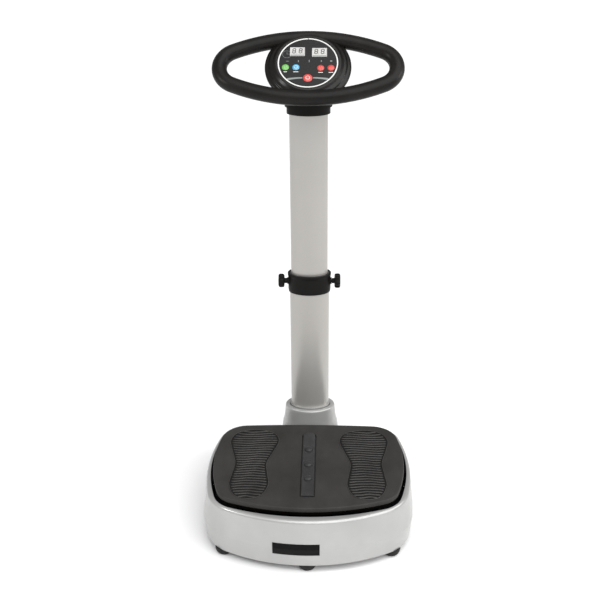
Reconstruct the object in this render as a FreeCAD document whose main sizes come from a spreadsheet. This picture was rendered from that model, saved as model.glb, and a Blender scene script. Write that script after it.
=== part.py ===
import FreeCAD, Part
import math
import os
import re
import Sketcher
from FreeCAD import Rotation, Vector

# Vibration plate. Millimetres, +Z up, the user stands on the -Y side looking along +Y.
# The origin is on the floor, under the middle of the base.

doc = FreeCAD.newDocument("vibration_plate")
sheet = doc.addObject("Spreadsheet::Sheet", "sizes")

# ---------------------------------------------------------------- driving dimensions

SIZES = {
    # base cover: three outlines stacked one above the other
    "cover_bottom": 21, "crease_height": 73, "cover_top": 150, "cover_wall": 3,
    "cover_half_width": 269, "cover_half_depth": 270, "cover_tuck": 6,
    "rim_round": 9, "rim_half_width": 261, "rim_front": 262, "rim_rear": 168,
    # deck
    "deck_top": 170, "mat_thick": 4, "deck_half_width": 245, "deck_front": 235,
    "deck_rear": 141, "tray_skirt": 23, "tray_wall": 4, "deck_gap": 7,
    "strip_half_width": 16, "strip_front": 186, "strip_rear": 97, "strip_rise": 3,
    "strip_groove": 2.5, "nodule_radius": 11, "nodule_rise": 7, "grip_rise": 1.2,
    "bar_high": 20, "bar_deep": 40, "bar_half_length": 180,
    "front_bar": -110, "rear_bar": 60, "side_bar_high": 12, "deck_bolt_reach": 150,
    "stop_radius": 13, "stop_high": 20,
    # rocking mechanism
    "pivot_height": 100, "pivot_radius": 10, "running_gap": 0.05,
    "crank_reach": 125, "crank_height": 94, "crank_throw": 2.5, "shaft_radius": 8,
    "eccentric_radius": 16, "rod_length": 34, "rod_middle": -32, "rod_thick": 16,
    "rod_pin_radius": 6, "open_pivot_gap": 5.5,
    "large_pulley_radius": 32, "small_pulley_radius": 12, "belt_thick": 3,
    "belt_middle": 21, "belt_width": 10, "belt_gap": 0.3,
    "motor_reach": 110, "motor_height": 102, "motor_radius": 40, "motor_shaft_radius": 6,
    # chassis
    "pan_bottom": 22, "pan_thick": 3, "rail_high": 30, "rail_wide": 50, "rail_reach": 170,
    "tube_wall": 2, "bed_thick": 4,
    # feet and wheels
    "foot_radius": 23, "foot_bolt_radius": 4, "wheel_radius": 24, "wheel_width": 22,
    "wheel_reach": 170, "wheel_back": 246, "wheel_height": 27, "axle_radius": 5,
    # mast
    "mast_back": 200, "mast_plate_thick": 8,
    "lower_half_wide": 51.25, "lower_half_deep": 32, "lower_wall": 2, "lower_top": 596,
    "upper_half_wide": 47.5, "upper_half_deep": 28.25, "upper_wall": 1.8,
    "upper_bottom": 380, "upper_top": 1050, "collar_bottom": 546, "collar_top": 598,
    "clamp_height": 574, "stud_radius": 4, "knob_radius": 19.5, "knob_back": 15.4,
    "knob_front": 31.4,
    # handle, measured on its own tilted plane
    "handle_back": 171.3, "handle_height": 1136.1, "handle_tilt": 40,
    "ring_half_wide": 209.5, "ring_half_deep": 85.7, "ring_end_radius": 52, "grip_radius": 18.2,
    "console_up": 4.1, "face_level": 14.7, "face_radius": 72, "console_radius": 102.5,
    "button_radius": 8.5, "power_radius": 11, "button_rise": 1.6, "button_gap": 0.3,
    "socket_bottom": 1021, "socket_step": 1038,
}

for row, (alias, number) in enumerate(SIZES.items(), start=1):
    sheet.set(f"A{row}", alias)
    sheet.set(f"B{row}", str(number))
    sheet.setAlias(f"B{row}", alias)
doc.recompute()


class Size:
    """Reads a driving dimension back from the sheet: size.deck_top."""

    def __getattr__(self, alias):
        return float(sheet.get(alias))


size = Size()
sub_parts = []

# ---------------------------------------------------------------- helpers


def bound(text):
    """Turn plain alias names in a formula into references to the sheet."""
    return re.sub(r"[a-z]\w+", lambda word: "sizes." + word.group(0), str(text))


def bind(thing, **formulas):
    for name, formula in formulas.items():
        thing.setExpression(name, bound(formula))


def place(thing, x, y, z, rotation=Rotation()):
    thing.Placement = FreeCAD.Placement(Vector(), rotation)
    for axis, formula in zip("xyz", (x, y, z)):
        thing.setExpression("Placement.Base." + axis, bound(formula))


def keep(label, thing):
    """Mark an object as a finished sub-part; its label names its file."""
    thing.Label = label
    sub_parts.append(thing)
    return thing


def block(wide, deep, high, x, y, z):
    """A box centred on x and y that stands on height z."""
    box = doc.addObject("Part::Box", "block")
    bind(box, Length=wide, Width=deep, Height=high)
    place(box, f"({x}) - ({wide}) / 2", f"({y}) - ({deep}) / 2", z)
    return box


TURNS = {
    "x": Rotation(Vector(0, 1, 0), 90),
    "y": Rotation(Vector(1, 0, 0), -90),
    "z": Rotation(),
}


def pin(radius, length, x, y, z, along="z"):
    """A cylinder that starts at x, y, z and runs along an axis."""
    cylinder = doc.addObject("Part::Cylinder", "pin")
    bind(cylinder, Radius=radius, Height=length)
    place(cylinder, x, y, z, TURNS[along])
    return cylinder


def joined(*things):
    union = doc.addObject("Part::MultiFuse", "joined")
    union.Shapes = list(things)
    return union


def grouped(*things):
    group = doc.addObject("Part::Compound", "group")
    group.Links = list(things)
    return group


def cut(base, *tools):
    result = doc.addObject("Part::Cut", "cut")
    result.Base = base
    result.Tool = tools[0] if len(tools) == 1 else grouped(*tools)
    return result


def oval(half_wide, half_deep, bottom, top):
    """A solid oval column on the mast's axis, between two heights."""
    ellipse = doc.addObject("Part::Ellipse", "oval_outline")
    bind(ellipse, MajorRadius=half_wide, MinorRadius=half_deep)
    place(ellipse, "0", "mast_back", bottom)
    column = doc.addObject("Part::Extrusion", "oval")
    column.Base = ellipse
    column.DirMode = "Custom"
    column.Dir = Vector(0, 0, 1)
    column.Solid = True
    bind(column, LengthFwd=f"({top}) - ({bottom})")
    return column


def oval_tube(half_wide, half_deep, wall, bottom, top):
    inside = oval(f"{half_wide} - {wall}", f"{half_deep} - {wall}",
                  f"({bottom}) - 1", f"({top}) + 1")
    return cut(oval(half_wide, half_deep, bottom, top), inside)


def box_tube(wide, deep, high, x, y, z, along):
    """A rectangular steel tube, open at its two ends."""
    narrow = "2 * tube_wall"
    inside = {"x": (wide, f"({deep}) - {narrow}"), "y": (f"({wide}) - {narrow}", deep)}[along]
    hollow = block(*inside, f"({high}) - {narrow}", x, y, f"({z}) + tube_wall")
    return cut(block(wide, deep, high, x, y, z), hollow)


def plane_of(body, role):
    return next(part for part in body.Origin.OriginFeatures if part.Role == role)


def new_body(label, x, y, z, rotation=Rotation()):
    body = doc.addObject("PartDesign::Body", label)
    place(body, x, y, z, rotation)
    return keep(label, body)


def new_sketch(body, role="XY_Plane"):
    sketch = body.newObject("Sketcher::SketchObject", "sketch")
    sketch.AttachmentSupport = (plane_of(body, role), "")
    sketch.MapMode = "FlatFace"
    return sketch


def draw_circle(sketch, radius, x="0", y="0"):
    """A circle whose radius and centre follow the sheet."""
    index = sketch.addGeometry(Part.Circle(Vector(1, 1, 0), Vector(0, 0, 1), 5), False)
    number = sketch.addConstraint(Sketcher.Constraint("Radius", index, 5))
    sketch.setExpression(f"Constraints[{number}]", bound(radius))
    hold_point(sketch, index, 3, x, y)


def hold_point(sketch, index, end, x, y):
    """Tie one point of the sketch to the axes, or to distances from the sheet."""
    for kind, formula, axis in (("DistanceX", x, -2), ("DistanceY", y, -1)):
        if str(formula) == "0":
            sketch.addConstraint(Sketcher.Constraint("PointOnObject", index, end, axis))
        else:
            number = sketch.addConstraint(Sketcher.Constraint(kind, -1, 1, index, end, 1.0))
            sketch.setExpression(f"Constraints[{number}]", bound(formula))


def draw_polygon(sketch, start, points):
    """Straight lines through the given corners. start holds the same corners as numbers."""
    count = len(points)
    lines = [Part.LineSegment(Vector(*start[i], 0), Vector(*start[(i + 1) % count], 0))
             for i in range(count)]
    sketch.addGeometry(lines, False)
    for i, (x, y) in enumerate(points):
        sketch.addConstraint(Sketcher.Constraint("Coincident", i, 1, (i - 1) % count, 2))
        hold_point(sketch, i, 1, x, y)


def pocket_round(body, sketch, count):
    """Cut the sketch through the body, then repeat it round the body's axis."""
    doc.recompute()
    feature = body.newObject("PartDesign::Pocket", "pocket")
    feature.Profile = sketch
    feature.Type = "ThroughAll"
    feature.Midplane = True
    pattern = body.newObject("PartDesign::PolarPattern", "pattern")
    pattern.Originals = [feature]
    pattern.Axis = (next(axis for axis in body.Origin.OriginFeatures
                         if axis.Role == "Z_Axis"), [""])
    pattern.Angle = 360
    pattern.Occurrences = count
    body.Tip = pattern


def turned_body(label, points, x, y, z, rotation=Rotation()):
    """A lathe shape about the body's own Z axis, from (radius, height) corners."""
    body = new_body(label, x, y, z, rotation)
    turn_profile(body, points)
    return body


def turn_profile(body, points):
    sketch = new_sketch(body, "XZ_Plane")
    start = [(number_of(r), number_of(z)) for r, z in points]
    draw_polygon(sketch, start, points)
    feature = body.newObject("PartDesign::Revolution", "revolution")
    feature.Profile = sketch
    feature.ReferenceAxis = (sketch, ["V_Axis"])
    feature.Angle = 360


def number_of(formula):
    """Work out a sum of sheet names and plain numbers, for a sketch's first guess."""
    total = 0.0
    for sign, term in re.findall(r"([+-]?)\s*([\w.]+)", str(formula)):
        amount = SIZES[term] if term in SIZES else float(term)
        total += -amount if sign == "-" else amount
    return total


def shaped(label, shape, placement=None):
    """A sub-part whose surface is worked out below with Part's own functions."""
    thing = keep(label, doc.addObject("Part::Feature", label))
    thing.Shape = shape
    if placement:
        thing.Placement = placement.multiply(shape.Placement)
    return thing


def mirrored_pair(shape):
    """The shape and its mirror image on the other side of the machine."""
    return Part.makeCompound([shape, shape.mirror(Vector(), Vector(1, 0, 0))])


# ---------------------------------------------------------------- outlines seen from above


def meeting(centre_a, reach_a, centre_b, reach_b):
    """The point at the given reach from both centres that lies outermost in X."""
    line = centre_b - centre_a
    gap = line.Length
    along = (gap * gap + reach_a * reach_a - reach_b * reach_b) / (2 * gap)
    aside = math.sqrt(reach_a * reach_a - along * along)
    unit = line / gap
    foot = centre_a + unit * along
    across = Vector(-unit.y, unit.x, 0) * aside
    return max(foot + across, foot - across, key=lambda point: point.x)


class Outline:
    """Eight tangent arcs: front bow, side, rear, and a corner arc between each two."""

    def __init__(self, front, half_wide, rear, widest_at, radii):
        bow, corner, side, rear_corner, back = radii
        self.front = (Vector(0, bow - front, 0), bow)
        self.side = (Vector(half_wide - side, widest_at, 0), side)
        self.rear = (Vector(0, rear - back, 0), back)
        self.corner = (meeting(self.front[0], bow - corner, self.side[0], side - corner), corner)
        self.rear_corner = (
            meeting(self.rear[0], back - rear_corner, self.side[0], side - rear_corner),
            rear_corner)

    def wire(self, inset, height):
        """The closed outline, moved inwards by inset, at the given height."""
        lift = Vector(0, 0, height)
        chain = [self.front, self.corner, self.side, self.rear_corner, self.rear]
        joints = []
        for (big, _), (small, radius) in ((self.front, self.corner), (self.side, self.corner),
                                          (self.side, self.rear_corner),
                                          (self.rear, self.rear_corner)):
            joints.append(small + (small - big).normalize() * (radius - inset) + lift)
        nose = self.front[0] + Vector(0, inset - self.front[1], 0) + lift
        tail = self.rear[0] + Vector(0, self.rear[1] - inset, 0) + lift
        stops = [nose] + joints + [tail]
        right = [self.arc(chain[i][0] + lift, chain[i][1] - inset, stops[i], stops[i + 1])
                 for i in range(5)]
        left = [edge.mirror(Vector(), Vector(1, 0, 0)) for edge in reversed(right)]
        return Part.Wire(Part.__sortEdges__(right + left))

    @staticmethod
    def arc(centre, radius, start, end):
        middle = ((start - centre) + (end - centre)).normalize() * radius + centre
        return Part.Arc(start, middle, end).toShape()

    def slab(self, inset, bottom, top):
        return Part.Face(self.wire(inset, bottom)).extrude(Vector(0, 0, top - bottom))


def between(low_wire, high_wire):
    return Part.makeLoft([low_wire, high_wire], True, True)


crease = Outline(size.cover_half_depth, size.cover_half_width, size.cover_half_depth, -20,
                 (430, 115, 1200, 75, 1400))
rim = Outline(size.rim_front, size.rim_half_width, size.rim_rear, -40,
              (430, 105, 520, 70, 1400))
deck = Outline(size.deck_front, size.deck_half_width, size.deck_rear, -25,
               (533, 60, 480, 70, 3000))


def cover_form(inset, top, rounding):
    """The closed form of the base: in at the floor, widest at the crease, in at the rim."""
    low = between(crease.wire(inset + size.cover_tuck, size.cover_bottom),
                  crease.wire(inset, size.crease_height))
    high = between(crease.wire(inset, size.crease_height), rim.wire(inset, top))
    form = low.fuse(high).removeSplitter()
    edges = [edge for edge in form.Edges
             if all(abs(point.Point.z - top) < 0.01 for point in edge.Vertexes)]
    return form.makeFillet(rounding, edges)


# ---------------------------------------------------------------- base: cover, pan, chassis

outer_form = cover_form(0, size.cover_top, size.rim_round)
inner_form = cover_form(size.cover_wall, size.cover_top - size.cover_wall,
                        size.rim_round - size.cover_wall)
deck_well = deck.slab(-size.deck_gap, size.pan_bottom + size.pan_thick, size.deck_top + 60)

MAST_AXIS = Vector(0, size.mast_back, 0)


def oval_wire(half_wide, half_deep, height):
    centre = MAST_AXIS + Vector(0, 0, height)
    return Part.Wire(Part.Ellipse(centre + Vector(half_wide, 0, 0),
                                  centre + Vector(0, half_deep, 0), centre).toShape())


def oval_slab(half_wide, half_deep, bottom, top):
    return Part.Face(oval_wire(half_wide, half_deep, bottom)).extrude(Vector(0, 0, top - bottom))


INLET_X, INLET_Z, INLET_WIDE, INLET_HIGH = -15, 32, 60, 28
SCREW_Z = 40
SCREW_ROWS = (-80, 40)


def side_screws(radius, inner, outer):
    """Four short rods along X, two at each side of the base."""
    rods = [Part.makeCylinder(radius, outer - inner, Vector(inner, y, SCREW_Z), Vector(1, 0, 0))
            for y in SCREW_ROWS]
    return mirrored_pair(Part.makeCompound(rods))


def wheel_notch(side):
    wide = size.wheel_width + 26
    return Part.makeBox(wide, 70, 52, Vector(side * size.wheel_reach - wide / 2, 216, 5))


inlet_hole = Part.makeBox(INLET_WIDE, 40, INLET_HIGH,
                          Vector(INLET_X - INLET_WIDE / 2, 236, INLET_Z))
SHROUD_HOLE = oval_slab(66, 50, 60, 170)
cover_shell = outer_form.cut([inner_form, deck_well, SHROUD_HOLE, wheel_notch(1), wheel_notch(-1),
                               inlet_hole, side_screws(2.05, 240, 280)])
shaped("base_cover", cover_shell)

plate = crease.slab(9.3, size.pan_bottom, size.pan_bottom + size.pan_thick)
lip = crease.slab(9.3, size.pan_bottom, 46).cut(crease.slab(11.3, 20, 60))
foot_places = [Vector(0, -242, 0)] + [
    Vector(side * x, y, 0) for x, y in ((209, -184), (110, 235)) for side in (-1, 1)]
foot_holes = [Part.makeCylinder(size.foot_bolt_radius, 60, spot) for spot in foot_places]
pan = plate.fuse(lip).cut([*foot_holes, wheel_notch(1), wheel_notch(-1), inlet_hole,
                           side_screws(2.05, 240, 280)])
shaped("bottom_pan", pan)

badge_area = Part.makeBox(115, 60, 33, Vector(-84, -300, 55))
badge_skin = between(crease.wire(size.cover_tuck - 0.6, size.cover_bottom),
                     crease.wire(-0.6, size.crease_height)).fuse(
    between(crease.wire(-0.6, size.crease_height), rim.wire(-0.6, size.cover_top)))
shaped("badge_plate", badge_skin.common(badge_area).cut(outer_form))

shroud_levels = ((79, 59, 70), (78, 58, 110), (76.5, 56.5, 135), (74.5, 54.5, 152),
                 (72, 52, 163), (69.5, 49.5, 177), (67.5, 47.8, 190), (66.5, 47, 203))


def shroud_form(inset, drop):
    return Part.makeLoft([oval_wire(wide - inset, deep - inset, height - drop)
                          for wide, deep, height in shroud_levels], True, True)


shroud = shroud_form(0, 0)
shroud = shroud.makeFillet(3.5, [edge for edge in shroud.Edges
                                 if edge.BoundBox.ZMin > shroud_levels[-1][2] - 0.5])
shroud = shroud.cut([shroud_form(3, 3), outer_form, deck_well,
                     oval_slab(54.5, 35.5, 180, 210)])
shaped("column_shroud", max(shroud.Solids, key=lambda solid: solid.Volume))

trim_profile = [(52.6, 33.4, 186), (53.2, 34.0, 200), (54.0, 35.0, 207)]
trim = Part.makeLoft([oval_wire(*level) for level in trim_profile], True, True)
shaped("shroud_trim_ring", trim.cut(oval_slab(size.lower_half_wide, size.lower_half_deep,
                                              180, 210)))

RAIL_Z = "pan_bottom + pan_thick"
BED_Z = f"{RAIL_Z} + rail_high"
POST_TOP = "deck_top - mat_thick - tray_wall - bar_high - 26"
STOP_REACH = "rail_reach + 2"
rails = []
for side in (-1, 1):
    posts = [pin("9", f"{POST_TOP} - ({BED_Z})", f"{side} * ({STOP_REACH})", row, BED_Z)
             for row in ("front_bar", "rear_bar")]
    rails.append(joined(box_tube("rail_wide", "420", "rail_high", f"{side} * rail_reach", "5",
                                 RAIL_Z, "y"), *posts))
keep("chassis_rails", grouped(*rails))
BETWEEN_RAILS = "2 * rail_reach - rail_wide"
CROSS_MEMBERS = ((-175, 40), (-118, 50), (68, 50), (193, 66))
keep("cross_members", grouped(*[
    box_tube(BETWEEN_RAILS, deep, "rail_high", "0", y, RAIL_Z, "x")
    for y, deep in CROSS_MEMBERS]))
beds = [block("110", "200", "bed_thick", f"{side} * 105", "-25", BED_Z) for side in (-1, 1)]
keep("drive_beds", grouped(*beds))

# ---------------------------------------------------------------- feet, wheels, fasteners


FOOT_BORE_END = 8


def rubber_foot(spot):
    """One domed foot, turned about its own axis, with a blind hole for its bolt."""
    dome, bore = size.foot_radius, size.foot_bolt_radius
    corners = [(0, 0), (dome - 9, 0), (dome - 3, 4), (dome, 13), (dome, size.cover_bottom - 0.3),
               (16, size.cover_bottom - 0.3), (16, size.pan_bottom), (bore, size.pan_bottom),
               (bore, FOOT_BORE_END), (0, FOOT_BORE_END)]
    profile = Part.makePolygon([Vector(r, 0, z) for r, z in corners + corners[:1]])
    return Part.Face(profile).revolve(Vector(), Vector(0, 0, 1), 360).translated(spot)


shaped("rubber_feet", Part.makeCompound([rubber_foot(spot) for spot in foot_places]))
foot_bolts = [pin("foot_bolt_radius", f"pan_bottom + pan_thick - {FOOT_BORE_END}",
                  spot.x, spot.y, FOOT_BORE_END)
              for spot in foot_places]
keep("foot_bolts", grouped(*foot_bolts))

shaped("cover_screws", Part.makeCompound([
    Part.makeCylinder(2, 12, Vector(side * 252, y, SCREW_Z), Vector(side, 0, 0)).fuse(
        Part.makeCylinder(4.5, 2, Vector(side * 263.4, y, SCREW_Z), Vector(side, 0, 0))).cut(
        outer_form.common(Part.makeBox(600, 600, 40, Vector(-300, -300, 25))).cut(
            side_screws(2.05, 240, 280)))
    for side in (-1, 1) for y in SCREW_ROWS]))

WHEEL_AXIS = ("wheel_back", "wheel_height")
for side, name in ((-1, "left_wheel"), (1, "right_wheel")):
    turned_body(name, [
        ("axle_radius + running_gap", "0"), ("14", "0"), ("15", "3"), ("18", "3"), ("19", "0"),
        ("wheel_radius - 2", "0"), ("wheel_radius", "2"), ("wheel_radius", "wheel_width - 2"),
        ("wheel_radius - 2", "wheel_width"), ("19", "wheel_width"), ("18", "wheel_width - 3"),
        ("15", "wheel_width - 3"), ("14", "wheel_width"),
        ("axle_radius + running_gap", "wheel_width")],
        f"{side} * wheel_reach - wheel_width / 2", *WHEEL_AXIS, TURNS["x"])

axles = [pin("axle_radius", "wheel_width + 12", f"{side} * wheel_reach - wheel_width / 2 - 6",
             *WHEEL_AXIS, "x") for side in (-1, 1)]
keep("wheel_axles", grouped(*axles))
brackets = []
for side in (-1, 1):
    middle = f"{side} * wheel_reach"
    ears = [block("4", "41", "26", f"{middle} + {way} * (wheel_width / 2 + 3)", "235.5", RAIL_Z)
            for way in (-1, 1)]
    web = block("wheel_width + 10", "4", "26", middle, "217", RAIL_Z)
    bore = pin("axle_radius", "wheel_width + 14", f"{middle} - wheel_width / 2 - 7",
               *WHEEL_AXIS, "x")
    low_slot = block("wheel_width + 14", "12", "4", middle, "wheel_back", "pan_bottom")
    brackets.append(cut(joined(web, *ears), bore, low_slot))
keep("wheel_brackets", grouped(*brackets))

# ---------------------------------------------------------------- power inlet and switch

INLET_FACE = size.cover_half_depth
ROCKER_X, ROCKER_R, ROCKER_DEEP = 6, 10, 6
inlet = Part.makeBox(INLET_WIDE, 30, INLET_HIGH,
                     Vector(INLET_X - INLET_WIDE / 2, INLET_FACE - 31.5, INLET_Z))
inlet = inlet.common(Part.makeBox(600, 400, 100, Vector(-300, 0, 0)))
flange = Part.makeBox(INLET_WIDE + 4, 1.5, INLET_HIGH + 4,
                      Vector(INLET_X - INLET_WIDE / 2 - 2, INLET_FACE - 1.5, INLET_Z - 2))
inlet = inlet.fuse(flange).cut([
    Part.makeBox(26, 17, 18, Vector(-42, INLET_FACE - 16, 37)),
    Part.makeBox(14.2, 17, 21, Vector(ROCKER_X - 7.1, INLET_FACE - 16, 35.5))])
inlet = inlet.cut(outer_form.cut(inner_form).cut(inlet_hole))
contacts = [Part.makeBox(2, 11, 4, Vector(x, INLET_FACE - 16, z))
            for x, z in ((-37, 42), (-25, 42), (-31, 47))]
shaped("power_inlet", inlet.fuse(contacts))

rocker = Part.makeCylinder(ROCKER_R, 13.4, Vector(-6.7, 0, 0), Vector(1, 0, 0))
rocker = rocker.cut(Part.makeBox(20, 20, 30, Vector(-10, 3.5, -15)))
shaped("rocker_switch", rocker, FreeCAD.Placement(
    Vector(ROCKER_X, INLET_FACE - 4.5, 46), Rotation(Vector(1, 0, 0), -7)))

# ---------------------------------------------------------------- mast

PLATE_Z = BED_Z
keep("mast_foot_plate", cut(
    block("140", "74", "mast_plate_thick", "0", "mast_back", PLATE_Z),
    *[pin("5", "20", side * 60, f"mast_back + {way} * 20", "50") for side in (-1, 1)
      for way in (-1, 1)]))
keep("mast_bolts", grouped(*[
    joined(pin("5", "mast_plate_thick", side * 60, f"mast_back + {way} * 20", PLATE_Z),
           pin("8", "6", side * 60, f"mast_back + {way} * 20", f"{PLATE_Z} + mast_plate_thick"))
    for side in (-1, 1) for way in (-1, 1)]))

TUBE_Z = f"{PLATE_Z} + mast_plate_thick"
CLAMP_AT = ("mast_back", "clamp_height")
keep("lower_mast_tube", cut(
    oval_tube("lower_half_wide", "lower_half_deep", "lower_wall", TUBE_Z, "lower_top"),
    pin("5", "120", "-60", *CLAMP_AT, "x")))
keep("upper_mast_tube", oval_tube("upper_half_wide", "upper_half_deep", "upper_wall",
                                  "upper_bottom", "upper_top"))

guide_skin = oval("upper_half_wide + running_gap", "upper_half_deep + running_gap", 530, 610)
mouth_guide = joined(
    oval("lower_half_wide - lower_wall", "lower_half_deep - lower_wall", 536, "lower_top"),
    oval("lower_half_wide", "lower_half_deep", "lower_top", "collar_top"))
keep("mouth_guide", cut(mouth_guide, guide_skin, pin("5", "120", "-60", *CLAMP_AT, "x")))
keep("sliding_guide", cut(
    oval("lower_half_wide - lower_wall - running_gap",
         "lower_half_deep - lower_wall - running_gap", "upper_bottom - 6", "upper_bottom + 40"),
    oval("upper_half_wide", "upper_half_deep", "upper_bottom", "upper_bottom + 50"),
    oval("upper_half_wide - 4", "upper_half_deep - 4", "upper_bottom - 10",
         "upper_bottom + 10")))

collar_levels = ((53.5, 34.5, size.collar_bottom), (55, 36.2, size.collar_bottom + 3),
                 (55.4, 36.6, size.collar_top - 8), (56.4, 38, size.collar_top - 4),
                 (56.4, 38, size.collar_top))
collar = Part.makeLoft([oval_wire(*level) for level in collar_levels], True, True)
boss = Part.makeCylinder(9, 116, Vector(-58, size.mast_back, size.clamp_height),
                         Vector(1, 0, 0))
collar = collar.fuse(boss).cut([
    oval_slab(size.lower_half_wide, size.lower_half_deep, 500, 620),
    Part.makeCylinder(size.stud_radius + 2 * size.running_gap, 160,
                      Vector(-80, size.mast_back, size.clamp_height), Vector(1, 0, 0))])
shaped("clamp_collar", collar)
keep("clamp_shoes", grouped(*[
    pin("4.5", "1.2", f"{way} * 48.5 - 0.6", *CLAMP_AT, "x") for way in (-1, 1)]))

OUTWARD = {-1: Rotation(Vector(0, 1, 0), -90), 1: Rotation(Vector(0, 1, 0), 90)}
for side, name in ((-1, "left_clamp_knob"), (1, "right_clamp_knob")):
    knob = new_body(name, f"{side} * 49.6", *CLAMP_AT, OUTWARD[side])
    turn_profile(knob, [
        ("0", "0"), ("stud_radius", "0"), ("stud_radius", "8.7"), ("7", "8.7"),
        ("7", "knob_back"), ("knob_radius - 3", "knob_back"), ("knob_radius", "knob_back + 2.6"),
        ("knob_radius", "knob_front - 3.4"), ("knob_radius - 4", "knob_front"),
        ("0", "knob_front")])
    scallop = new_sketch(knob)
    draw_circle(scallop, "7", "knob_radius + 4")
    pocket_round(knob, scallop, 6)

# ---------------------------------------------------------------- handle and console

TILTED = FreeCAD.Placement(Vector(0, size.handle_back, size.handle_height),
                           Rotation(Vector(1, 0, 0), size.handle_tilt))


def tilted(label, shape):
    return shaped(label, shape, TILTED)


def ring_form(radius):
    """A round tube bent along four tangent arcs, about the handle's own origin."""
    end = size.ring_end_radius
    wide, deep = size.ring_half_wide, size.ring_half_deep
    shift = wide - end
    bow = (shift ** 2 + deep ** 2 - end ** 2) / (2 * (deep - end))
    half_bow = math.degrees(math.atan2(shift, bow - deep))
    pieces = []
    for turn in (0, 180):
        top = arc_tube(bow, radius, half_bow * 2).rotated(Vector(), Vector(0, 0, 1), -half_bow)
        top = top.rotated(Vector(), Vector(0, 0, 1), 90).translated(Vector(0, deep - bow, 0))
        side = arc_tube(end, radius, 180 - 2 * half_bow)
        side = side.rotated(Vector(), Vector(0, 0, 1), half_bow - 90)
        for piece in (top, side.translated(Vector(shift, 0, 0))):
            pieces.append(piece.rotated(Vector(), Vector(0, 0, 1), turn))
    return pieces[0].fuse(pieces[1:]).removeSplitter()


def arc_tube(bend, radius, degrees):
    section = Part.Face(Part.Wire(Part.makeCircle(radius, Vector(bend, 0, 0), Vector(0, 1, 0))))
    return section.revolve(Vector(), Vector(0, 0, 1), degrees)


CONSOLE = Vector(0, size.console_up, 0)


def turned(points):
    """A lathe shape about the console's axis, in the handle's own frame."""
    corners = [Vector(r, 0, z) for r, z in points]
    face = Part.Face(Part.makePolygon(corners + corners[:1]))
    return face.revolve(Vector(), Vector(0, 0, 1), 360).translated(CONSOLE)


FACE = size.face_level
R_FACE, R_OUT, R_BEZEL = size.face_radius, size.console_radius, 78
BOARD_UNDER = 3
ring = ring_form(size.grip_radius).cut(
    Part.makeCylinder(R_BEZEL + 0.1, 40, CONSOLE + Vector(0, 0, BOARD_UNDER)))
tilted("handle_ring", ring)
CONSOLE_BACK = -38
outside = [(0, CONSOLE_BACK), (60, CONSOLE_BACK), (88, -27), (99, -12), (R_OUT, -4),
           (R_OUT, 0), (100, 3), (93, 5.5), (91, 8.5), (84, 11), (R_BEZEL, FACE + 1.6), (R_FACE + 0.1, FACE + 1.6)]
inside = [(R_FACE + 0.1, FACE - 2.4), (R_FACE - 3, FACE - 2.4), (R_FACE - 3, 8), (80, 6),
          (89, 2), (98, -2), (98.5, -4.5), (95.5, -10.5), (85.5, -23.5), (59, -35), (0, -35)]
housing = turned(outside + inside).cut(ring)
tilted("console_housing", max(housing.Solids, key=lambda solid: solid.Volume))

BUTTONS = (("power_button", 0, -43.7, size.power_radius),
           ("program_button", -52.6, -13, size.button_radius),
           ("time_button", -28, -13, size.button_radius),
           ("slower_button", 30, -15, size.button_radius),
           ("faster_button", 54, -15, size.button_radius))
DISPLAYS = ((-25, 31.6), (27, 29.5))
DISPLAY_WIDE, DISPLAY_HIGH = 35, 25


def window(x, y, margin, bottom, top):
    return Part.makeBox(DISPLAY_WIDE + 2 * margin, DISPLAY_HIGH + 2 * margin, top - bottom,
                        Vector(x - DISPLAY_WIDE / 2 - margin, y - DISPLAY_HIGH / 2 - margin,
                               bottom)).translated(CONSOLE)


button_holes = [Part.makeCylinder(radius + size.button_gap, 20, CONSOLE + Vector(x, y, FACE - 10))
                for _, x, y, radius in BUTTONS]
face = turned([(0, FACE - 2.4), (R_FACE, FACE - 2.4), (R_FACE, FACE), (0, FACE)])
ring_groove = turned([(68, FACE - 0.4), (71, FACE - 0.4), (71, FACE + 1), (68, FACE + 1)])
tilted("console_face", face.cut(button_holes + [ring_groove] + [
    window(x, y, 0, FACE - 5, FACE + 5) for x, y in DISPLAYS]))
tilted("face_ring", turned([(68, FACE - 0.4), (71, FACE - 0.4), (71, FACE + 0.4),
                            (68, FACE + 0.4)]))
tilted("display_windows", Part.makeCompound([
    window(x, y, 0, FACE - 4, FACE + 0.6) for x, y in DISPLAYS]))
board = turned([(0, FACE - 10), (64, FACE - 10), (64, FACE - 8.4), (0, FACE - 8.4)])
tilted("circuit_board", board)
for name, x, y, radius in BUTTONS:
    crown = radius - 1.5
    corners = [(0, FACE - 6.5), (radius - 2, FACE - 6.5), (radius - 2, FACE - 4),
               (radius, FACE - 4), (radius, FACE + 0.6), (crown, FACE + size.button_rise),
               (0, FACE + size.button_rise)]
    tilted(name, turned(corners).translated(Vector(x, y, 0)))

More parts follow.
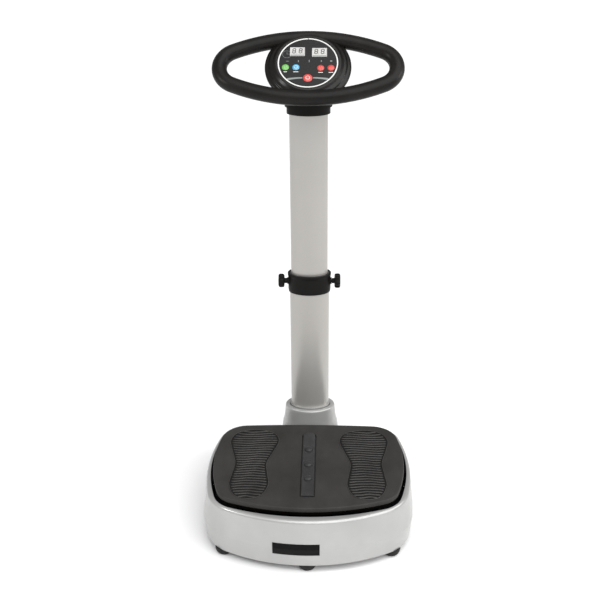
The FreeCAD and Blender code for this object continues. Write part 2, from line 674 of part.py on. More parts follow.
socket_levels = ((53.5, 34.5, size.socket_bottom, size.socket_step),
                 (58, 38.5, size.socket_step, 1055), (57, 37.5, 1055, 1160))
socket = oval_slab(*socket_levels[0])
for level in socket_levels[1:]:
    socket = socket.fuse(oval_slab(*level))
above_back = Part.makeBox(400, 400, 400, Vector(-200, -200, CONSOLE_BACK))
above_back.Placement = TILTED
socket = socket.cut([above_back,
                     oval_slab(size.upper_half_wide, size.upper_half_deep, 1000,
                               size.upper_top),
                     oval_slab(size.upper_half_wide - 6, size.upper_half_deep - 6, 1000, 1200)])
bolt_line = Vector(1, 0, 0)
BOLT_Z = 1062
bolt_bore = Part.makeCylinder(4, 140, Vector(-70, size.mast_back, BOLT_Z), bolt_line)
shaped("handle_socket", socket.cut(bolt_bore))
shaped("socket_bolts", mirrored_pair(
    Part.makeCylinder(4, 13, Vector(44, size.mast_back, BOLT_Z), bolt_line).fuse(
        Part.makeCylinder(6.5, 6, Vector(57, size.mast_back, BOLT_Z), bolt_line))))

# ---------------------------------------------------------------- deck

mat_bottom = size.deck_top - size.mat_thick
groove = size.strip_half_width + size.strip_groove


def strip_form(half_wide, front, rear, bottom, top):
    """A bar along Y with a square front end and a half-round rear end."""
    straight = Part.makeBox(2 * half_wide, front + rear - half_wide, top - bottom,
                            Vector(-half_wide, -front, bottom))
    end = Part.makeCylinder(half_wide, top - bottom, Vector(0, rear - half_wide, bottom))
    return straight.fuse(end).removeSplitter()


mat = deck.slab(0, mat_bottom, size.deck_top)
top_edges = [edge for edge in mat.Edges
             if all(abs(point.Point.z - size.deck_top) < 0.01 for point in edge.Vertexes)]
mat = mat.makeFillet(1.5, top_edges)
shaped("deck_mat", mat.cut(strip_form(groove, size.strip_front + size.strip_groove,
                                      size.strip_rear + size.strip_groove, 150, 190)))
strip_top = size.deck_top + size.strip_rise
shaped("massage_strip", strip_form(size.strip_half_width, size.strip_front, size.strip_rear,
                                   mat_bottom, strip_top))
cap_radius = (size.nodule_radius ** 2 + size.nodule_rise ** 2) / (2 * size.nodule_rise)
NODULE_ROWS = (13, -55, -116)
nodules = []
for y in NODULE_ROWS:
    ball = Part.makeSphere(cap_radius, Vector(0, y, strip_top + size.nodule_rise - cap_radius))
    nodules.append(ball.common(Part.makeBox(60, 60, 30, Vector(-30, y - 30, strip_top))))
shaped("massage_nodules", Part.makeCompound(nodules))

FOOTPRINT = ((144, 112), (190, 98), (208, 62), (202, 18), (189, -42), (193, -95), (196, -140),
             (180, -184), (148, -198), (114, -184), (98, -140), (103, -92), (107, -45),
             (92, 8), (80, 60), (98, 98))
sole = Part.BSplineCurve()
sole.interpolate([Vector(x, y, size.deck_top) for x, y in FOOTPRINT], PeriodicFlag=True)
sole = Part.Face(Part.Wire(sole.toShape())).extrude(Vector(0, 0, size.grip_rise))
shaped("foot_grips", mirrored_pair(sole))

tray_low = mat_bottom - size.tray_skirt
tray = between(deck.wire(9, tray_low), deck.wire(3, mat_bottom))
tray_core = between(deck.wire(9 + size.tray_wall, tray_low - 0.01),
                    deck.wire(4 + size.tray_wall, mat_bottom - size.tray_wall))
shaped("deck_tray", tray.cut(tray_core))

TRAY_UNDER = "deck_top - mat_thick - tray_wall"
BAR_Z = f"{TRAY_UNDER} - bar_high"
SIDE_BAR_Z = f"{TRAY_UNDER} - side_bar_high"
HANGERS = (-94, 44)
bars = [block("2 * bar_half_length", "bar_deep", "bar_high", "0", y, BAR_Z)
        for y in ("front_bar", "rear_bar")]
spine = block("40", "rear_bar - front_bar", "bar_high", "0", "(rear_bar + front_bar) / 2", BAR_Z)
side_bars = [block("36", "rear_bar - front_bar", "side_bar_high", f"{side} * crank_reach",
                   "(rear_bar + front_bar) / 2", SIDE_BAR_Z) for side in (-1, 1)]
hangers = [block("46", "12", f"{BAR_Z} - pivot_height + 18", "0", y, "pivot_height - 18")
           for y in HANGERS]
LUG_GAP = "rod_thick / 2 + 5"
lugs = [block("24", "6", f"{SIDE_BAR_Z} - crank_height - rod_length + 12", "crank_reach",
              f"rod_middle + {way} * ({LUG_GAP})", "crank_height + rod_length - 12")
        for way in (-1, 1)]
pivot_bores = [pin("pivot_radius", "16", "0", y - 8, "pivot_height", "y") for y in HANGERS]
DECK_BOLT_SPOTS = [(f"{side} * deck_bolt_reach", row) for side in (-1, 1) for row in ("front_bar", "rear_bar")]
bolt_holes = [pin("4", "40", x, y, "130") for x, y in DECK_BOLT_SPOTS]
PIN_AT = ("crank_reach", "rod_middle - 18", "crank_height + rod_length")
keep("deck_frame", cut(joined(*bars, spine, *side_bars, *hangers, *lugs), *pivot_bores,
                       *bolt_holes, pin("rod_pin_radius", "36", *PIN_AT, "y")))
keep("deck_bolts", grouped(*[
    joined(pin("4", "bar_high", x, y, BAR_Z), pin("6.5", "4", x, y, f"{BAR_Z} - 4"))
    for x, y in DECK_BOLT_SPOTS]))
keep("deck_pins", grouped(
    pin("pivot_radius", "46", "0", "-134", "pivot_height", "y"),
    pin("pivot_radius", "46", "0", "38", "pivot_height", "y"),
    pin("rod_pin_radius", "36", *PIN_AT, "y")))

# ---------------------------------------------------------------- bearings and drive


def pillow_block(wide, deep, x, y, axis_height, bore, rise):
    """A block that stands on the chassis and carries a shaft along Y."""
    body = block(wide, deep, f"{axis_height} + {rise} - ({bore[1]})", x, y, bore[1])
    return cut(body, pin(f"{bore[0]} + running_gap", f"{deep} + 4", x, f"{y} - ({deep}) / 2 - 2",
                         axis_height, "y"))


pivot_blocks = [pillow_block("60", "24", "0", y, "pivot_height", ("pivot_radius", BED_Z), "20")
                for y in ("-118", "68")]
shaft_blocks = [pillow_block("48", "14", "crank_reach", y, "crank_height",
                             ("shaft_radius", f"{BED_Z} + bed_thick"), "18")
                for y in ("-66", "1")]
keep("bearing_blocks", grouped(*pivot_blocks, *shaft_blocks))

SHAFT_AT = ("crank_reach", "-78", "crank_height")
keep("eccentric_shaft", joined(
    pin("shaft_radius", "108", *SHAFT_AT, "y"),
    pin("eccentric_radius", "rod_thick", "crank_reach + crank_throw",
        "rod_middle - rod_thick / 2", "crank_height", "y")))


def pulley(label, radius, bore, x, y, z):
    """A grooved wheel turned about its shaft, which runs along Y."""
    low = "belt_width / 2 + 0.3"
    groove_floor = f"{radius} - belt_gap"
    body = new_body(label, x, y, z, Rotation(Vector(1, 0, 0), -90))
    turn_profile(body, [
        (bore, "-7"), (f"{radius} + 2.5", "-7"), (f"{radius} + 2.5", "-5.6"),
        (groove_floor, "-5.4"), (groove_floor, "5.4"), (f"{radius} + 2.5", "5.6"),
        (f"{radius} + 2.5", "7"), (bore, "7")])
    return body


large = pulley("large_pulley", "large_pulley_radius", "shaft_radius",
               "crank_reach", "belt_middle", "crank_height")
lightening = new_sketch(large)
draw_circle(lightening, "6", "20")
pocket_round(large, lightening, 5)
pulley("small_pulley", "small_pulley_radius", "motor_shaft_radius",
       "-motor_reach", "belt_middle", "motor_height")


def belt_loop(extra):
    """The belt's path as a closed face in the XZ plane, this far outside the grooves."""
    big, small = size.large_pulley_radius + extra, size.small_pulley_radius + extra
    right = Vector(size.crank_reach, 0, size.crank_height)
    left = Vector(-size.motor_reach, 0, size.motor_height)
    line = left - right
    lean = math.acos((big - small) / line.Length)
    edges = []
    rims = {}
    for sign in (1, -1):
        turned_line = Rotation(Vector(0, 1, 0), math.degrees(sign * lean)).multVec(line)
        unit = turned_line.normalize()
        rims[sign] = (right + unit * big, left + unit * small)
        edges.append(Part.LineSegment(*rims[sign]).toShape())
    away = (right - left).normalize()
    edges.append(Part.Arc(rims[1][0], right + away * big, rims[-1][0]).toShape())
    edges.append(Part.Arc(rims[1][1], left - away * small, rims[-1][1]).toShape())
    return Part.Face(Part.Wire(Part.__sortEdges__(edges)))


belt_start = Vector(0, size.belt_middle - size.belt_width / 2, 0)
belt = belt_loop(size.belt_thick).cut(belt_loop(0)).translated(belt_start)
shaped("drive_belt", belt.extrude(Vector(0, size.belt_width, 0)))

rod_eye = Vector(size.crank_reach + size.crank_throw, size.rod_middle - size.rod_thick / 2 + 1,
                 size.crank_height + size.rod_length)
rod_foot = rod_eye - Vector(0, 0, size.rod_length)
ALONG_Y = Vector(0, 1, 0)
rod_wide = size.rod_thick - 2
eye_hole = size.rod_pin_radius + size.open_pivot_gap
bush_outer = size.eccentric_radius + 2.5
rod = Part.makeCylinder(24, rod_wide, rod_foot, ALONG_Y).fuse(
    [Part.makeCylinder(eye_hole + 4, rod_wide, rod_eye, ALONG_Y),
     Part.makeBox(20, rod_wide, size.rod_length, rod_foot - Vector(10, 0, 0))]).cut(
    [Part.makeCylinder(bush_outer, rod_wide, rod_foot, ALONG_Y),
     Part.makeCylinder(eye_hole, rod_wide, rod_eye, ALONG_Y)])
shaped("connecting_rod", rod.removeSplitter())
bush = Part.makeCylinder(bush_outer, rod_wide, rod_foot, ALONG_Y).cut(
    Part.makeCylinder(size.eccentric_radius + size.running_gap, rod_wide, rod_foot, ALONG_Y))
shaped("rod_bearing", bush)

MOTOR_AT = ("-motor_reach", "-80", "motor_height")
keep("motor_body", cut(
    joined(pin("motor_radius", "84", *MOTOR_AT, "y"),
           pin("motor_radius - 14", "4", "-motor_reach", "4", "motor_height", "y")),
    pin("motor_shaft_radius + running_gap", "60", "-motor_reach", "-30", "motor_height", "y")))
keep("motor_shaft", pin("motor_shaft_radius", "54", "-motor_reach", "-24", "motor_height", "y"))
keep("motor_saddle", cut(
    block("70", "60", "20", "-motor_reach", "-38", f"{BED_Z} + bed_thick"),
    pin("motor_radius", "100", "-motor_reach", "-90", "motor_height", "y")))
keep("controller_box", block("140", "64", "46", "0", "-188", BED_Z))

keep("bump_stops", grouped(*[
    pin("stop_radius", "stop_high", f"{side} * ({STOP_REACH})", row, POST_TOP)
    for side in (-1, 1) for row in ("front_bar", "rear_bar")]))

# ---------------------------------------------------------------- check and write

doc.recompute()
for thing in doc.Objects:
    if {"Invalid", "Error"} & set(thing.State):
        raise SystemExit(f"{thing.Label} ({thing.Name}) failed: {thing.State}")
os.makedirs("parts", exist_ok=True)
for thing in sub_parts:
    shape = thing.Shape
    if shape.isNull() or not shape.isValid() or not shape.Solids:
        raise SystemExit(f"{thing.Label} has no valid solid")
    shape.exportStep(f"parts/{thing.Label}.step")
    box = shape.BoundBox
    print(f"{thing.Label:20} {len(shape.Solids)} solids  "
          f"{box.XLength:7.1f} {box.YLength:7.1f} {box.ZLength:7.1f}  {shape.Volume / 1000:9.1f} cm3")
print(len(sub_parts), "sub-parts")
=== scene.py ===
# %% [markdown]
# # A vibration plate, finished in cells
# The machine is already designed in CAD: frame, mast, deck, drive and joints. Here each visible
# piece gets its final surface and finish. A piece whose CAD shape is already right, such as a
# welded rail, only gets a material. A piece whose look depends on soft edges, ribs or small
# detail is worked out again as a numpy surface in the place that the CAD node holds.

# %% Load the frame
import math
import bmesh
import bpy
import numpy as np
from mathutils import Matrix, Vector


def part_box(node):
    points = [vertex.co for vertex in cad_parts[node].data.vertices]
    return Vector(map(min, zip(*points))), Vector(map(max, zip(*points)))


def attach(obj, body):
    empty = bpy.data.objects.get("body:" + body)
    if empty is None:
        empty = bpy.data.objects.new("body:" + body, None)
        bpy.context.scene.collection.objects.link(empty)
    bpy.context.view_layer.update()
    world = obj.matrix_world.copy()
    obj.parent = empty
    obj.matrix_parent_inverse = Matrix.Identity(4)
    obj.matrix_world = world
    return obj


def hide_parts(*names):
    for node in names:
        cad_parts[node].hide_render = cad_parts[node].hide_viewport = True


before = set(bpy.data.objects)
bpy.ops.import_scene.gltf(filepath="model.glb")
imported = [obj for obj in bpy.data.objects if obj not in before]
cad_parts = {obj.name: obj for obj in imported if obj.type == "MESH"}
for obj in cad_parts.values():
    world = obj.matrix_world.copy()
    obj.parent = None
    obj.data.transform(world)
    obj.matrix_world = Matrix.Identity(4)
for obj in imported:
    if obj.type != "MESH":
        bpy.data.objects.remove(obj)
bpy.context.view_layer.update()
MM = 0.001

# %% [markdown]
# ## From numbers to a mesh
# Nearly every piece is a grid of points: rows along a profile, columns round an outline. One
# function turns such grids into faces. Where a grid comes back to its start, or runs into an
# axis, its points coincide, and merging them closes the seam or the pole. Sharp edges are
# marked by angle, so flat faces stay crisp and round ones shade smoothly.

# %% Grids to meshes


def build(name, grids, body, finish, stands_for=(), crisp=35):
    """Join grids of points, each (rows, columns, 3), into one mesh object.

    Every cell of a grid becomes a quad. Points closer than a micrometre are merged.
    """
    points, quads, start = [], [], 0
    for grid in grids:
        rows, columns = grid.shape[:2]
        index = np.arange(rows * columns).reshape(rows, columns) + start
        quads.append(np.stack([index[:-1, :-1], index[:-1, 1:], index[1:, 1:], index[1:, :-1]],
                              axis=-1).reshape(-1, 4))
        points.append(grid.reshape(-1, 3))
        start += rows * columns
    points, quads = np.concatenate(points), np.concatenate(quads)
    mesh = bpy.data.meshes.new(name)
    mesh.vertices.add(len(points))
    mesh.vertices.foreach_set("co", points.astype(np.float32).ravel())
    mesh.loops.add(quads.size)
    mesh.loops.foreach_set("vertex_index", quads.astype(np.int32).ravel())
    mesh.polygons.add(len(quads))
    mesh.polygons.foreach_set("loop_start", np.arange(0, quads.size, 4, dtype=np.int32))
    mesh.update(calc_edges=True)
    tidy = bmesh.new()
    tidy.from_mesh(mesh)
    bmesh.ops.remove_doubles(tidy, verts=tidy.verts, dist=1e-6)
    bmesh.ops.dissolve_degenerate(tidy, edges=tidy.edges, dist=1e-7)
    bmesh.ops.recalc_face_normals(tidy, faces=tidy.faces)
    tidy.to_mesh(mesh)
    tidy.free()
    mesh.shade_smooth()
    mesh.set_sharp_from_angle(angle=math.radians(crisp))
    mesh.materials.append(finish)
    piece = bpy.data.objects.new(name, mesh)
    bpy.context.scene.collection.objects.link(piece)
    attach(piece, body)
    if stands_for:
        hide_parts(*stands_for)
    print(f"{name}: {len(mesh.polygons)} faces")
    return piece


# %% [markdown]
# ## Profiles with soft corners
# A moulded edge is never sharp. A profile is written as a few corners, and each corner is
# swapped for a short curve that leaves one side and arrives on the next without a kink.

# %% Soft profiles and lathe shapes


def soft(corners, cut=1.0, steps=5):
    """A path through the corners, in millimetres, with rounded corners, returned in metres.

    Each inner corner becomes a quadratic curve (1-t)^2 A + 2t(1-t) P + t^2 B, where A and B
    lie on its two sides, the cut distance away from the corner P.
    """
    corners = np.array(corners, float)
    cuts = np.broadcast_to(cut, len(corners))
    t = np.linspace(0, 1, steps + 1)[:, None]
    path = [corners[:1]]
    for before, here, after, reach in zip(corners, corners[1:], corners[2:], cuts[1:]):
        sides = [before - here, after - here]
        lengths = [np.linalg.norm(side) for side in sides]
        a, b = (here + side / size * min(reach, size * 0.48)
                for side, size in zip(sides, lengths))
        path.append((1 - t) ** 2 * a + 2 * t * (1 - t) * here + t ** 2 * b)
    path.append(corners[-1:])
    return np.concatenate(path) * MM


def seat(origin, x=(1, 0, 0), y=(0, 1, 0)):
    """A function that moves local points to a place whose X and Y axes are given."""
    axes = np.array([x, y, np.cross(x, y)], float)
    return lambda local: np.asarray(origin) + local @ axes


def lathe(profile, place, sides=96, lobes=0, depth=0.0, sweep=(0, 2 * np.pi)):
    """Turn a (radius, height) profile about the local Z axis, over the angles of the sweep.

    With lobes, each radius is scaled by 1 - depth * (1 - cos(lobes * angle)) / 2.
    """
    angle = np.linspace(*sweep, sides + 1)
    wave = 1 - depth * (1 - np.cos(lobes * angle)) / 2
    radius, height = profile[:, :1], profile[:, 1:]
    return place(np.stack([radius * wave * np.cos(angle), radius * wave * np.sin(angle),
                           height + 0 * angle], axis=-1))


# %% [markdown]
# ## Materials as arithmetic
# A finish is a small network of nodes. Written as sums and products it stays readable: a
# Signal wraps one socket, and adding or multiplying signals adds Math nodes behind the scenes.

# %% The Signal class


class Signal:
    """A number that varies over the surface, with arithmetic that adds Math nodes."""

    def __init__(self, tree, socket):
        self.tree, self.socket = tree, socket

    def math(self, operation, first, second):
        node = add_node(self.tree, "ShaderNodeMath", {"operation": operation},
                        {0: first, 1: second})
        return Signal(self.tree, node.outputs[0])

    def __add__(self, other):
        return self.math("ADD", self, other)

    def __sub__(self, other):
        return self.math("SUBTRACT", self, other)

    def __mul__(self, other):
        return self.math("MULTIPLY", self, other)


def add_node(tree, kind, settings, values):
    """Add a node, set its settings, then give each named socket a value or a link."""
    node = tree.nodes.new(kind)
    for name, setting in settings.items():
        setattr(node, name, setting)
    for name, value in values.items():
        if isinstance(value, Signal):
            tree.links.new(value.socket, node.inputs[name])
        else:
            node.inputs[name].default_value = value
    return node


# %% [markdown]
# Each finish below is the same idea with different numbers: two near shades mixed by a broad
# cloud, a roughness that wanders a little, and fine grain in the bump. Broad cloud, middle
# mottle and fine grain together are what separates plastic, paint, foam and rubber.

# %% The Finish builder


class Finish:
    """A material on Object coordinates, with helpers for the usual textures."""

    def __init__(self, name, **constants):
        self.material = bpy.data.materials.new(name)
        self.material.use_nodes = True
        self.tree = self.material.node_tree
        self.shader = self.tree.nodes["Principled BSDF"]
        self.where = Signal(self.tree, self.node("ShaderNodeTexCoord").outputs["Object"])
        for socket, value in constants.items():
            self.shader.inputs[socket.replace("_", " ")].default_value = value

    def node(self, kind, settings=None, values=None):
        return add_node(self.tree, kind, settings or {}, values or {})

    def stretch(self, scale):
        """Coordinates scaled differently along X, Y and Z."""
        mapped = self.node("ShaderNodeMapping", {}, {"Vector": self.where, "Scale": scale})
        return Signal(self.tree, mapped.outputs[0])

    def noise(self, scale, detail=3.0, where=None):
        made = self.node("ShaderNodeTexNoise", {}, {
            "Vector": where or self.where, "Scale": scale, "Detail": detail})
        return Signal(self.tree, made.outputs[0])

    def cells(self, scale, feature="F1"):
        made = self.node("ShaderNodeTexVoronoi", {"feature": feature},
                         {"Vector": self.where, "Scale": scale})
        return Signal(self.tree, made.outputs["Distance"])

    def between(self, factor, low, high):
        """low where the factor is 0, high where it is 1, for numbers."""
        made = self.node("ShaderNodeMapRange", {"clamp": True}, {
            "Value": factor, "From Min": 0.3, "From Max": 0.7, "To Min": low, "To Max": high})
        return Signal(self.tree, made.outputs[0])

    def mix(self, factor, dark, light):
        made = self.node("ShaderNodeMix", {"data_type": "RGBA"}, {
            0: factor, 6: dark if isinstance(dark, Signal) else (*dark, 1),
            7: light if isinstance(light, Signal) else (*light, 1)})
        return Signal(self.tree, made.outputs[2])

    def feed(self, **links):
        for socket, signal in links.items():
            self.tree.links.new(signal.socket, self.shader.inputs[socket.replace("_", " ")])

    def bump(self, height, depth, strength=1.0):
        made = self.node("ShaderNodeBump", {}, {
            "Height": height, "Distance": depth, "Strength": strength})
        self.tree.links.new(made.outputs[0], self.shader.inputs["Normal"])


def moulded(name, dark, light, rough, grain, depth, cloud=9.0, **constants):
    """A solid finish: two shades in clouds, wandering roughness and a fine grained bump."""
    made = Finish(name, **constants)
    broad = made.noise(cloud, 4)
    fine = made.noise(grain, 2)
    made.feed(Base_Color=made.mix(made.between(broad, 0.0, 1.0), dark, light))
    scuff = made.noise(cloud * 7, 6)
    made.feed(Roughness=made.between(scuff, *rough) + (fine - 0.5) * 0.06)
    made.bump(fine + made.noise(grain * 3.1, 1) * 0.5, depth)
    return made.material

# %% [markdown]
# ## The finishes
# The base and mast are silver: the base a moulded plastic with a soft metallic sheen, the mast
# a powder coat with the faint ripple that baked powder has. The deck mat is charcoal rubber
# with a leather-like grain and the pale clouds that feet leave on it.

# %% Silver, black and rubber finishes
silver = moulded("silver_moulding", (0.40, 0.40, 0.395), (0.45, 0.45, 0.44), (0.30, 0.38),
                 1500, 0.00001, Metallic=0.45, Coat_Weight=0.2, Coat_Roughness=0.2)
powder = moulded("mast_powder_coat", (0.40, 0.385, 0.36), (0.45, 0.44, 0.42), (0.30, 0.36),
                 420, 0.00002, cloud=3.0, Metallic=0.5, Coat_Weight=0.25,
                 Coat_Roughness=0.25)
gloss_black = moulded("gloss_black_moulding", (0.005, 0.0045, 0.004), (0.009, 0.008, 0.007),
                      (0.26, 0.38), 1300, 0.00001, cloud=14, Specular_IOR_Level=0.22,
                      Coat_Weight=0.08, Coat_Roughness=0.15)
textured_black = moulded("textured_black_plastic", (0.004, 0.004, 0.0035), (0.008, 0.0075, 0.007),
                         (0.34, 0.44), 1700, 0.00002, Specular_IOR_Level=0.1)
grip_foam = moulded("grip_sleeve", (0.006, 0.0055, 0.005), (0.012, 0.0108, 0.0098), (0.34, 0.44),
                    2100, 0.00003, cloud=16, Specular_IOR_Level=0.17)
foot_rubber = moulded("foot_rubber", (0.008, 0.008, 0.008), (0.016, 0.015, 0.014), (0.55, 0.7),
                      900, 0.0001, Specular_IOR_Level=0.25)
strip_rubber = moulded("strip_rubber", (0.018, 0.018, 0.019), (0.030, 0.030, 0.031),
                       (0.34, 0.46), 1100, 0.00003, cloud=22, Specular_IOR_Level=0.3)
chassis_black = moulded("chassis_powder_coat", (0.02, 0.02, 0.021), (0.035, 0.035, 0.036),
                        (0.4, 0.55), 700, 0.00008, Metallic=0.2)
cast_metal = moulded("machined_casting", (0.25, 0.25, 0.26), (0.38, 0.38, 0.39), (0.38, 0.55),
                     1400, 0.0001, Metallic=0.9)
bronze = moulded("sintered_bronze", (0.40, 0.25, 0.10), (0.52, 0.35, 0.16), (0.35, 0.5),
                 1600, 0.00006, Metallic=0.95)
guide_grey = moulded("guide_plastic", (0.03, 0.03, 0.03), (0.05, 0.05, 0.05), (0.35, 0.5),
                     800, 0.00004)
belt_rubber = moulded("belt_rubber", (0.012, 0.012, 0.012), (0.03, 0.03, 0.03), (0.6, 0.75),
                      1200, 0.0001)
board_green = moulded("board_laminate", (0.01, 0.08, 0.03), (0.02, 0.13, 0.05), (0.3, 0.45),
                      500, 0.00005, cloud=60)
badge_black = moulded("badge_plate", (0.002, 0.002, 0.002), (0.004, 0.004, 0.004), (0.3, 0.4),
                      900, 0.00001, cloud=30, Specular_IOR_Level=0.1)
print("solid finishes ready")


# %% Rubber mat and plated steel


def mat_finish():
    """Charcoal rubber: fine leather grain, pale worn clouds and a few light smears."""
    made = Finish("mat_rubber", Specular_IOR_Level=0.2)
    cloud = made.noise(7.0, 5)
    smear = made.noise(1.0, 4, made.stretch((26, 9, 20)))
    wear = made.between(cloud, 0.0, 0.75) + made.between(smear, 0.0, 0.35)
    made.feed(Base_Color=made.mix(wear, (0.020, 0.0188, 0.0172), (0.040, 0.038, 0.0355)))
    grain = made.cells(1150, "SMOOTH_F1")
    made.feed(Roughness=made.between(cloud, 0.58, 0.44) + (grain * 0.08))
    made.bump(grain + made.noise(2600, 2) * 0.4, 0.00012, 0.8)
    return made.material


def plated_finish():
    """Zinc-plated steel: fine turning lines round every axis blend into a soft brush."""
    made = Finish("plated_steel", Metallic=1.0)
    brush = made.noise(1.0, 3, made.stretch((300, 300, 2600)))
    cloud = made.noise(60, 3)
    made.feed(Base_Color=made.mix(made.between(cloud, 0, 1), (0.52, 0.52, 0.53),
                                  (0.66, 0.66, 0.65)))
    made.feed(Roughness=made.between(brush, 0.22, 0.4))
    made.bump(brush, 0.00003)
    return made.material


mat_rubber = mat_finish()
plated = plated_finish()
rib_rubber = moulded("rib_rubber", (0.026, 0.024, 0.022), (0.044, 0.041, 0.038), (0.26, 0.36),
                     1500, 0.00002, cloud=14, Specular_IOR_Level=0.4)
# Near-black rubber for the footprint beds: painted shade that stands in for the grooves between
# ribs.
groove_shade_rubber = moulded("rib_groove_painted_shade", (0.006, 0.006, 0.006), (0.010, 0.0095, 0.009),
                     (0.6, 0.75), 1300, 0.00003, Specular_IOR_Level=0.15)
print("mat and plated steel ready")

# %% [markdown]
# ## Finishes for the CAD nodes that stay
# Frames, bolts, tubes and housings keep their exact CAD meshes and only change material. A
# node's material slot is set in place; its mesh and its position are never touched.

# %% Repaint the CAD nodes
KEPT = {
    silver: ("base_cover", "shroud_trim_ring"),
    powder: ("lower_mast_tube", "upper_mast_tube"),
    chassis_black: ("bottom_pan", "chassis_rails", "cross_members", "drive_beds",
                    "mast_foot_plate", "deck_frame", "wheel_brackets", "motor_saddle",
                    "motor_body"),
    plated: ("foot_bolts", "cover_screws", "wheel_axles", "mast_bolts", "socket_bolts",
             "deck_bolts", "deck_pins", "eccentric_shaft", "motor_shaft", "clamp_shoes"),
    cast_metal: ("bearing_blocks", "large_pulley", "small_pulley", "connecting_rod"),
    bronze: ("rod_bearing",),
    guide_grey: ("mouth_guide", "sliding_guide"),
    textured_black: ("handle_socket", "power_inlet", "rocker_switch", "controller_box",
                     "left_wheel", "right_wheel"),
    foot_rubber: ("bump_stops",),
    belt_rubber: ("drive_belt",),
    board_green: ("circuit_board",),
    badge_black: ("badge_plate",),
}
for finish, names in KEPT.items():
    for name in names:
        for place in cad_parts[name].material_slots:
            place.material = finish
print(sum(len(names) for names in KEPT.values()), "CAD nodes repainted")

# %% [markdown]
# ## Outlines seen from above
# The deck's plan is a bow at the front, two long flat sides and a nearly straight rear, joined
# by round corners: eight arcs that touch without a kink. Each point is kept as its arc's
# centre, radius and direction, so the outline can be moved inwards exactly by shortening every
# radius, with no change in where the arcs meet.

# %% The Outline class


class Outline:
    """Tangent arcs round a plan that is symmetric about the YZ plane."""

    def __init__(self, front, half_wide, rear, widest_at, radii, fineness=0.006):
        bow, corner, side, rear_corner, back = radii
        hubs = [np.array([0, bow - front]), None, np.array([half_wide - side, widest_at]),
                None, np.array([0, rear - back])]
        hubs[1] = self.meeting(hubs[0], bow - corner, hubs[2], side - corner)
        hubs[3] = self.meeting(hubs[4], back - rear_corner, hubs[2], side - rear_corner)
        touch = [self.angle(hubs[1] - hubs[0]), self.angle(hubs[1] - hubs[2]),
                 self.angle(hubs[3] - hubs[2]), self.angle(hubs[3] - hubs[4])]
        stops = [-np.pi / 2, *touch, np.pi / 2]
        centre, radius, angle = [], [], []
        for hub, reach, start, stop in zip(hubs, radii, stops, stops[1:]):
            count = 2 + int(abs(stop - start) * reach / fineness)
            centre.append(np.repeat([hub], count, axis=0))
            radius.append(np.full(count, reach))
            angle.append(np.linspace(start, stop, count))
        centre, angle = np.concatenate(centre), np.concatenate(angle)
        facing = np.column_stack([np.cos(angle), np.sin(angle)])
        flip = np.array([-1, 1])
        self.centre = np.concatenate([centre, centre[::-1] * flip])
        self.facing = np.concatenate([facing, facing[::-1] * flip])
        self.radius = np.concatenate(radius + [part[::-1] for part in radius[::-1]])

    @staticmethod
    def angle(line):
        return math.atan2(line[1], line[0])

    @staticmethod
    def meeting(a, reach_a, b, reach_b):
        """Where two circles cross, on the side that is further out in X."""
        line = b - a
        gap = np.linalg.norm(line)
        along = (gap ** 2 + reach_a ** 2 - reach_b ** 2) / (2 * gap)
        aside = math.sqrt(reach_a ** 2 - along ** 2) / gap * np.array([-line[1], line[0]])
        foot = a + line / gap * along
        return max(foot + aside, foot - aside, key=lambda point: point[0])

    def rows(self, profile):
        """A grid whose rows are the outline at each (inset, height) of the profile."""
        inset, height = profile[:, 0, None], profile[:, 1, None]
        flat = self.centre + (self.radius - inset)[..., None] * self.facing
        return np.concatenate([flat, (height + 0 * self.radius)[..., None]], axis=-1)

    def fill(self, inset, height, centre, rings=6):
        """Rows that shrink the outline to one point, to close a flat face."""
        row = self.rows(np.array([[inset, height]]))
        t = np.linspace(0, 1, rings)[:, None, None]
        return row * (1 - t) + np.array([*centre, height]) * t


mat_low, mat_high = (np.array(corner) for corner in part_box("deck_mat"))
DECK_RADII = np.array([533, 60, 480, 70, 3000]) * MM
deck_plan = Outline(-mat_low[1], mat_high[0], mat_high[1], -0.025, DECK_RADII)
DECK_TOP = mat_high[2] / MM
print("deck plan has", len(deck_plan.radius), "points, top at", DECK_TOP, "mm")

# %% [markdown]
# ## Massage strip outline
# The slot in the mat and the strip in it share one outline: square at the front, half-round at
# the rear. It is sampled by its own length at the same fractions as the deck's outline, so a
# grid can run straight from one to the other and leave the slot open.

# %% The strip outline and the mat


def pill(half, front, rear, fractions):
    """Points at the given fractions of the length of a bar with one round end."""
    turn = np.linspace(0, np.pi, 40)
    path = np.array([(0, front), (half, front), *zip(half * np.cos(turn),
                                                     rear - half + half * np.sin(turn)),
                     (-half, front), (0, front)])
    steps = np.concatenate([[0], np.cumsum(np.linalg.norm(np.diff(path, axis=0), axis=1))])
    wanted = fractions * steps[-1]
    return np.column_stack([np.interp(wanted, steps, path[:, axis]) for axis in (0, 1)])


def fractions_of(row):
    steps = np.concatenate([[0], np.cumsum(np.linalg.norm(np.diff(row, axis=0), axis=1))])
    return steps / steps[-1]


def pill_rows(profile, fractions, half, front, rear):
    """Rows of the pill at each (inset, height) of a profile."""
    return np.stack([np.column_stack([
        pill(max(half - inset, 0), front + inset, rear - inset, fractions),
        np.full(len(fractions), height)]) for inset, height in profile])


